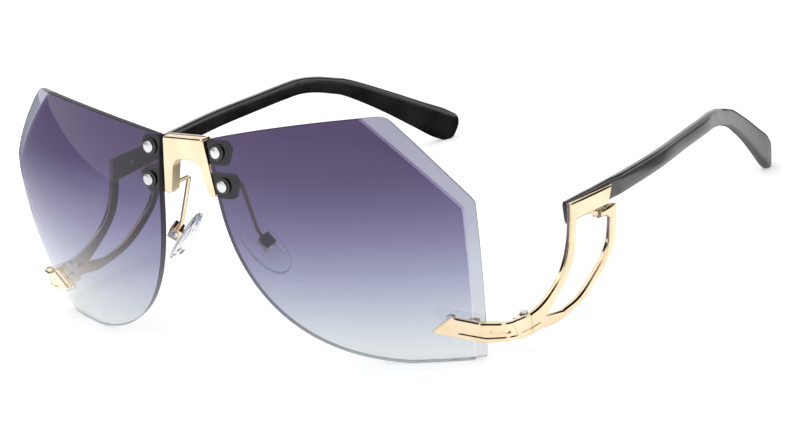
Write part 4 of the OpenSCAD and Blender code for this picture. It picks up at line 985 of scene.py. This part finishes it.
# Nose pad: an outline close to an ellipse, shrunk ring by ring; each face is a ball's cap, and the rim is a round.
def padSurface():
    s = padSizes
    a = roundAngles(s["around"])
    y = s["wide"] / 2 * signedPower(np.sin(a), s["oval"])
    z = s["long"] / 2 * signedPower(np.cos(a), s["oval"])

    # rings of one face: each step is a share of the outline and how far it lies behind the ball
    def cap(way, steps):
        bulge = s["outerBulge"] if way > 0 else s["innerBulge"]
        r = ((s["long"] / 2) ** 2 + bulge ** 2) / bulge / 2
        rings = []
        for share, back in steps:
            yy, zz = y * share, z * share
            x = way * (s["thick"] / 2 - back - r + np.sqrt(r ** 2 - yy ** 2 - zz ** 2))
            rings.append(np.stack([x, yy, zz], 1))
        return rings

    even = [(k, 0) for k in np.linspace(0.04, 0.88, s["faceRings"])]
    rings = cap(1, even + [(0.94, 0.06), (0.98, 0.22), (1, 0.45)])
    rings += cap(-1, [(1, 0.12), (0.975, 0.03), (0.93, 0)] + even[::-1])
    return ringSurface(fromPad(np.array(rings)))


# Wire: straight runs joined by quadratic bends that start a set reach before each corner, with a round section.
def wireSurface():
    s = padSizes
    tilt = math.radians(bridgeSizes["tilt"])
    start = np.array(s["wireStart"])
    x = (s["boxNear"] + s["boxFar"]) / 2
    corners = [start, start + np.array([0, math.cos(tilt), -math.sin(tilt)]) * s["wireBack"],
               fromPad([x, 0, s["boxTall"] / 2 + s["wireOff"]]), fromPad([x, 0, s["boxTall"] / 2 - s["wireIn"]])]
    t = np.linspace(0, 1, s["bendSteps"] + 1)[:, None]
    path = [corners[0][None]]
    for before, corner, after in zip(corners, corners[1:], corners[2:]):
        a = corner + unit(before - corner) * s["wireBend"] / 2
        b = corner + unit(after - corner) * s["wireBend"] / 2
        path.append(a * (1 - t) ** 2 + 2 * corner * t * (1 - t) + b * t ** 2)
    path = np.vstack(path + [corners[-1][None]])
    way = directions(path)
    u = unit(np.cross(way, [1, 0, 0]))
    v = np.cross(way, u)
    a = roundAngles(s["wireAround"])
    ring = u[:, None] * np.cos(a)[:, None] + v[:, None] * np.sin(a)[:, None]
    return ringSurface(path[:, None] + s["wire"] * ring)


padShape, wireShape = padSurface(), wireSurface()
for name, side in sides.items():
    makePiece("pad_" + name, padShape, silicone, "nose_pad_" + name, ["nose_pad_" + name], side,
              sharp=60)
    makePiece("pad_wire_" + name, wireShape, gold, "front", ["nose_arm_" + name], side, sharp=50)
    core = roundedCopy("pad_core_" + name, steel, 0.1, "nose_pad_" + name)
    # only the outermost part of the core shows as steel
    core.data.materials.append(clearPlate)
    middles = np.empty(len(core.data.polygons) * 3)
    core.data.polygons.foreach_get("center", middles)
    outward = (fromPad([1.0, 0, 0]) - padSizes["at"]) * [side, 1, 1]
    depths = (middles.reshape(-1, 3) - toMetres(np.array(padSizes["at"]) * [side, 1, 1])) @ outward * 1000
    core.data.polygons.foreach_set("material_index", (depths < padSizes["coreShows"]).astype(np.int32))
print("stage: nose pads made")

# Cards are dark discs of the world, (direction, inner and outer angle, level), and sheets dark boxes on the floor,
# (middle, half size, level); only reflections see either.
studio = dict(
    floorColour=(0.86, 0.86, 0.87), floorSize=6.0, floorGlow=0.36, grainScale=40.0, grain=0.02, sheetEdge=(0.94, 1.06),
    sky=0.85, lampPower=3.0, lampSize=0.9, lampAt=(-0.3, -0.2, 1.3),
    cards=[((0.434, 0.537, 0.723), 25, 31, 0.01), ((-0.61, -0.30, 0.73), 16, 22, 0.01),
           ((-0.9, -0.42, 0.12), 12, 36, 0.4), ((0.5, -0.6, 0.62), 14, 20, 0.01)],
    sheets=[((-0.47, 0.47), (0.53, 0.5), 0.02), ((-1.6, -0.1), (1.42, 0.08), 0.35), ((0.305, 0.175), (0.2, 0.1), 0.2)])


# Floor: a pale diffuse sheet, lifted to white for the camera, glass and metal, that keeps the object's shadow.
def makeFloor():
    s = studio
    material, tree, shader = newMaterial("paleFloor")
    place = tree.nodes.new("ShaderNodeTexCoord").outputs["Object"]
    grain = addNode(tree, "ShaderNodeTexNoise", Vector=place, Scale=s["grainScale"], Detail=4.0)
    lighter = tuple(c + s["grain"] for c in s["floorColour"])
    colour = addRamp(tree, [(0.3, s["floorColour"]), (0.7, lighter)], grain.outputs[0])
    feedInputs(tree, shader, {"Base Color": colour, "Roughness": 1, "Specular IOR Level": 0})

    rays = tree.nodes.new("ShaderNodeLightPath").outputs
    seen = addMath(tree, "MAXIMUM", rays["Is Camera Ray"], rays["Is Glossy Ray"])
    seen = addMath(tree, "MAXIMUM", seen, rays["Is Transmission Ray"])
    glow = addNode(tree, "ShaderNodeEmission", Strength=addMath(tree, "MULTIPLY", seen, s["floorGlow"]))
    bright = tree.nodes.new("ShaderNodeAddShader")
    for target, part in zip(bright.inputs, (shader, glow)):
        tree.links.new(part.outputs[0], target)

    darkness = 0.0
    for middle, half, level in s["sheets"]:
        away = addVectorMath(tree, "SUBTRACT", place, (*middle, 0))
        share = addVectorMath(tree, "ABSOLUTE", addVectorMath(tree, "DIVIDE", away, (*half, 1)))
        split = addNode(tree, "ShaderNodeSeparateXYZ", Vector=share).outputs
        larger = addMath(tree, "MAXIMUM", split["X"], split["Y"])
        darkness = addMath(tree, "MAXIMUM", darkness, addSoftStep(tree, larger, s["sheetEdge"], (1 - level, 0.0)))
    onlyGloss = addMath(tree, "SUBTRACT", rays["Is Glossy Ray"], rays["Is Transmission Ray"], use_clamp=True)
    dark = addNode(tree, "ShaderNodeEmission", Strength=0.0)
    mixForOutput(tree, addMath(tree, "MULTIPLY", darkness, onlyGloss), bright.outputs[0], dark.outputs[0])

    half = s["floorSize"] / 2
    mesh = bpy.data.meshes.new("floor")
    mesh.from_pydata([(-half, -half, 0), (half, -half, 0), (half, half, 0), (-half, half, 0)], [], [(0, 1, 2, 3)])
    mesh.materials.append(material)
    floor = addObject("floor", mesh)


# World: white for the camera and glass, an even sky for diffuse light, and for gloss a white room with dark cards,
# each a soft-edged disc about a direction.
def makeWorld():
    world = bpy.data.worlds.new("studio")
    bpy.context.scene.world = world
    world.use_nodes = True
    tree = world.node_tree
    tree.nodes.clear()
    place = tree.nodes.new("ShaderNodeTexCoord").outputs["Generated"]
    room = 1.0
    for way, inner, outer, level in studio["cards"]:
        towards = addVectorMath(tree, "DOT_PRODUCT", place, tuple(unit(way)))
        bounds = math.cos(math.radians(outer)), math.cos(math.radians(inner))
        room = addMath(tree, "MINIMUM", room, addSoftStep(tree, towards, bounds, (1.0, level)))
    rays = tree.nodes.new("ShaderNodeLightPath").outputs
    sky = (*(studio["sky"],) * 3, 1)
    lit = addNode(tree, "ShaderNodeMixRGB", Fac=rays["Is Glossy Ray"], Color1=sky, Color2=room).outputs[0]
    seen = addMath(tree, "MAXIMUM", rays["Is Camera Ray"], rays["Is Transmission Ray"])
    white = addNode(tree, "ShaderNodeMixRGB", Fac=seen, Color1=lit, Color2=(1, 1, 1, 1)).outputs[0]
    back = addNode(tree, "ShaderNodeBackground", Color=white)
    addNode(tree, "ShaderNodeOutputWorld", Surface=back.outputs[0])


# One large soft lamp above, aimed at the middle of the floor.
def makeLamp():
    lamp = addObject("softTop", bpy.data.lights.new("softTop", "AREA"))
    lamp.data.energy = studio["lampPower"]
    lamp.data.size = studio["lampSize"]
    lamp.location = studio["lampAt"]
    lamp.rotation_euler = (-Vector(studio["lampAt"])).to_track_quat("-Z", "Y").to_euler()


makeFloor()
makeWorld()
makeLamp()

cameraSizes = dict(azimuth=39.8036, height=17.4352, roll=-8.2094, away=1141.74, focal=4498.17,
                   aim=(14.812, 60.0, 20.284), imageWidth=800, sensor=36.0)


# Camera: it looks at the aim from an azimuth and height, turned about its own line of sight by the roll.
def makeCamera():
    s = cameraSizes
    a, e, r = (math.radians(s[k]) for k in ("azimuth", "height", "roll"))
    back = np.array([math.sin(a) * math.cos(e), -math.cos(a) * math.cos(e), math.sin(e)])
    right = np.array([math.cos(a), math.sin(a), 0])
    up = np.cross(back, right)
    rightTurned = right * math.cos(r) + up * math.sin(r)
    upTurned = -right * math.sin(r) + up * math.cos(r)
    spot = toMetres(np.array(s["aim"]) + back * s["away"])
    data = bpy.data.cameras.new("photoCamera")
    data.sensor_fit = "HORIZONTAL"
    data.sensor_width = s["sensor"]
    data.lens = s["focal"] * s["sensor"] / s["imageWidth"]
    data.clip_start = 0.05
    data.clip_end = 20
    camera = addObject("photoCamera", data)
    turn = Matrix(np.stack([rightTurned, upTurned, back], 1).tolist()).to_4x4()
    turn.translation = spot.tolist()
    camera.matrix_world = turn
    bpy.context.scene.camera = camera


makeCamera()
bpy.context.scene.view_settings.view_transform = "Standard"
print("stage: floor, light and camera made")
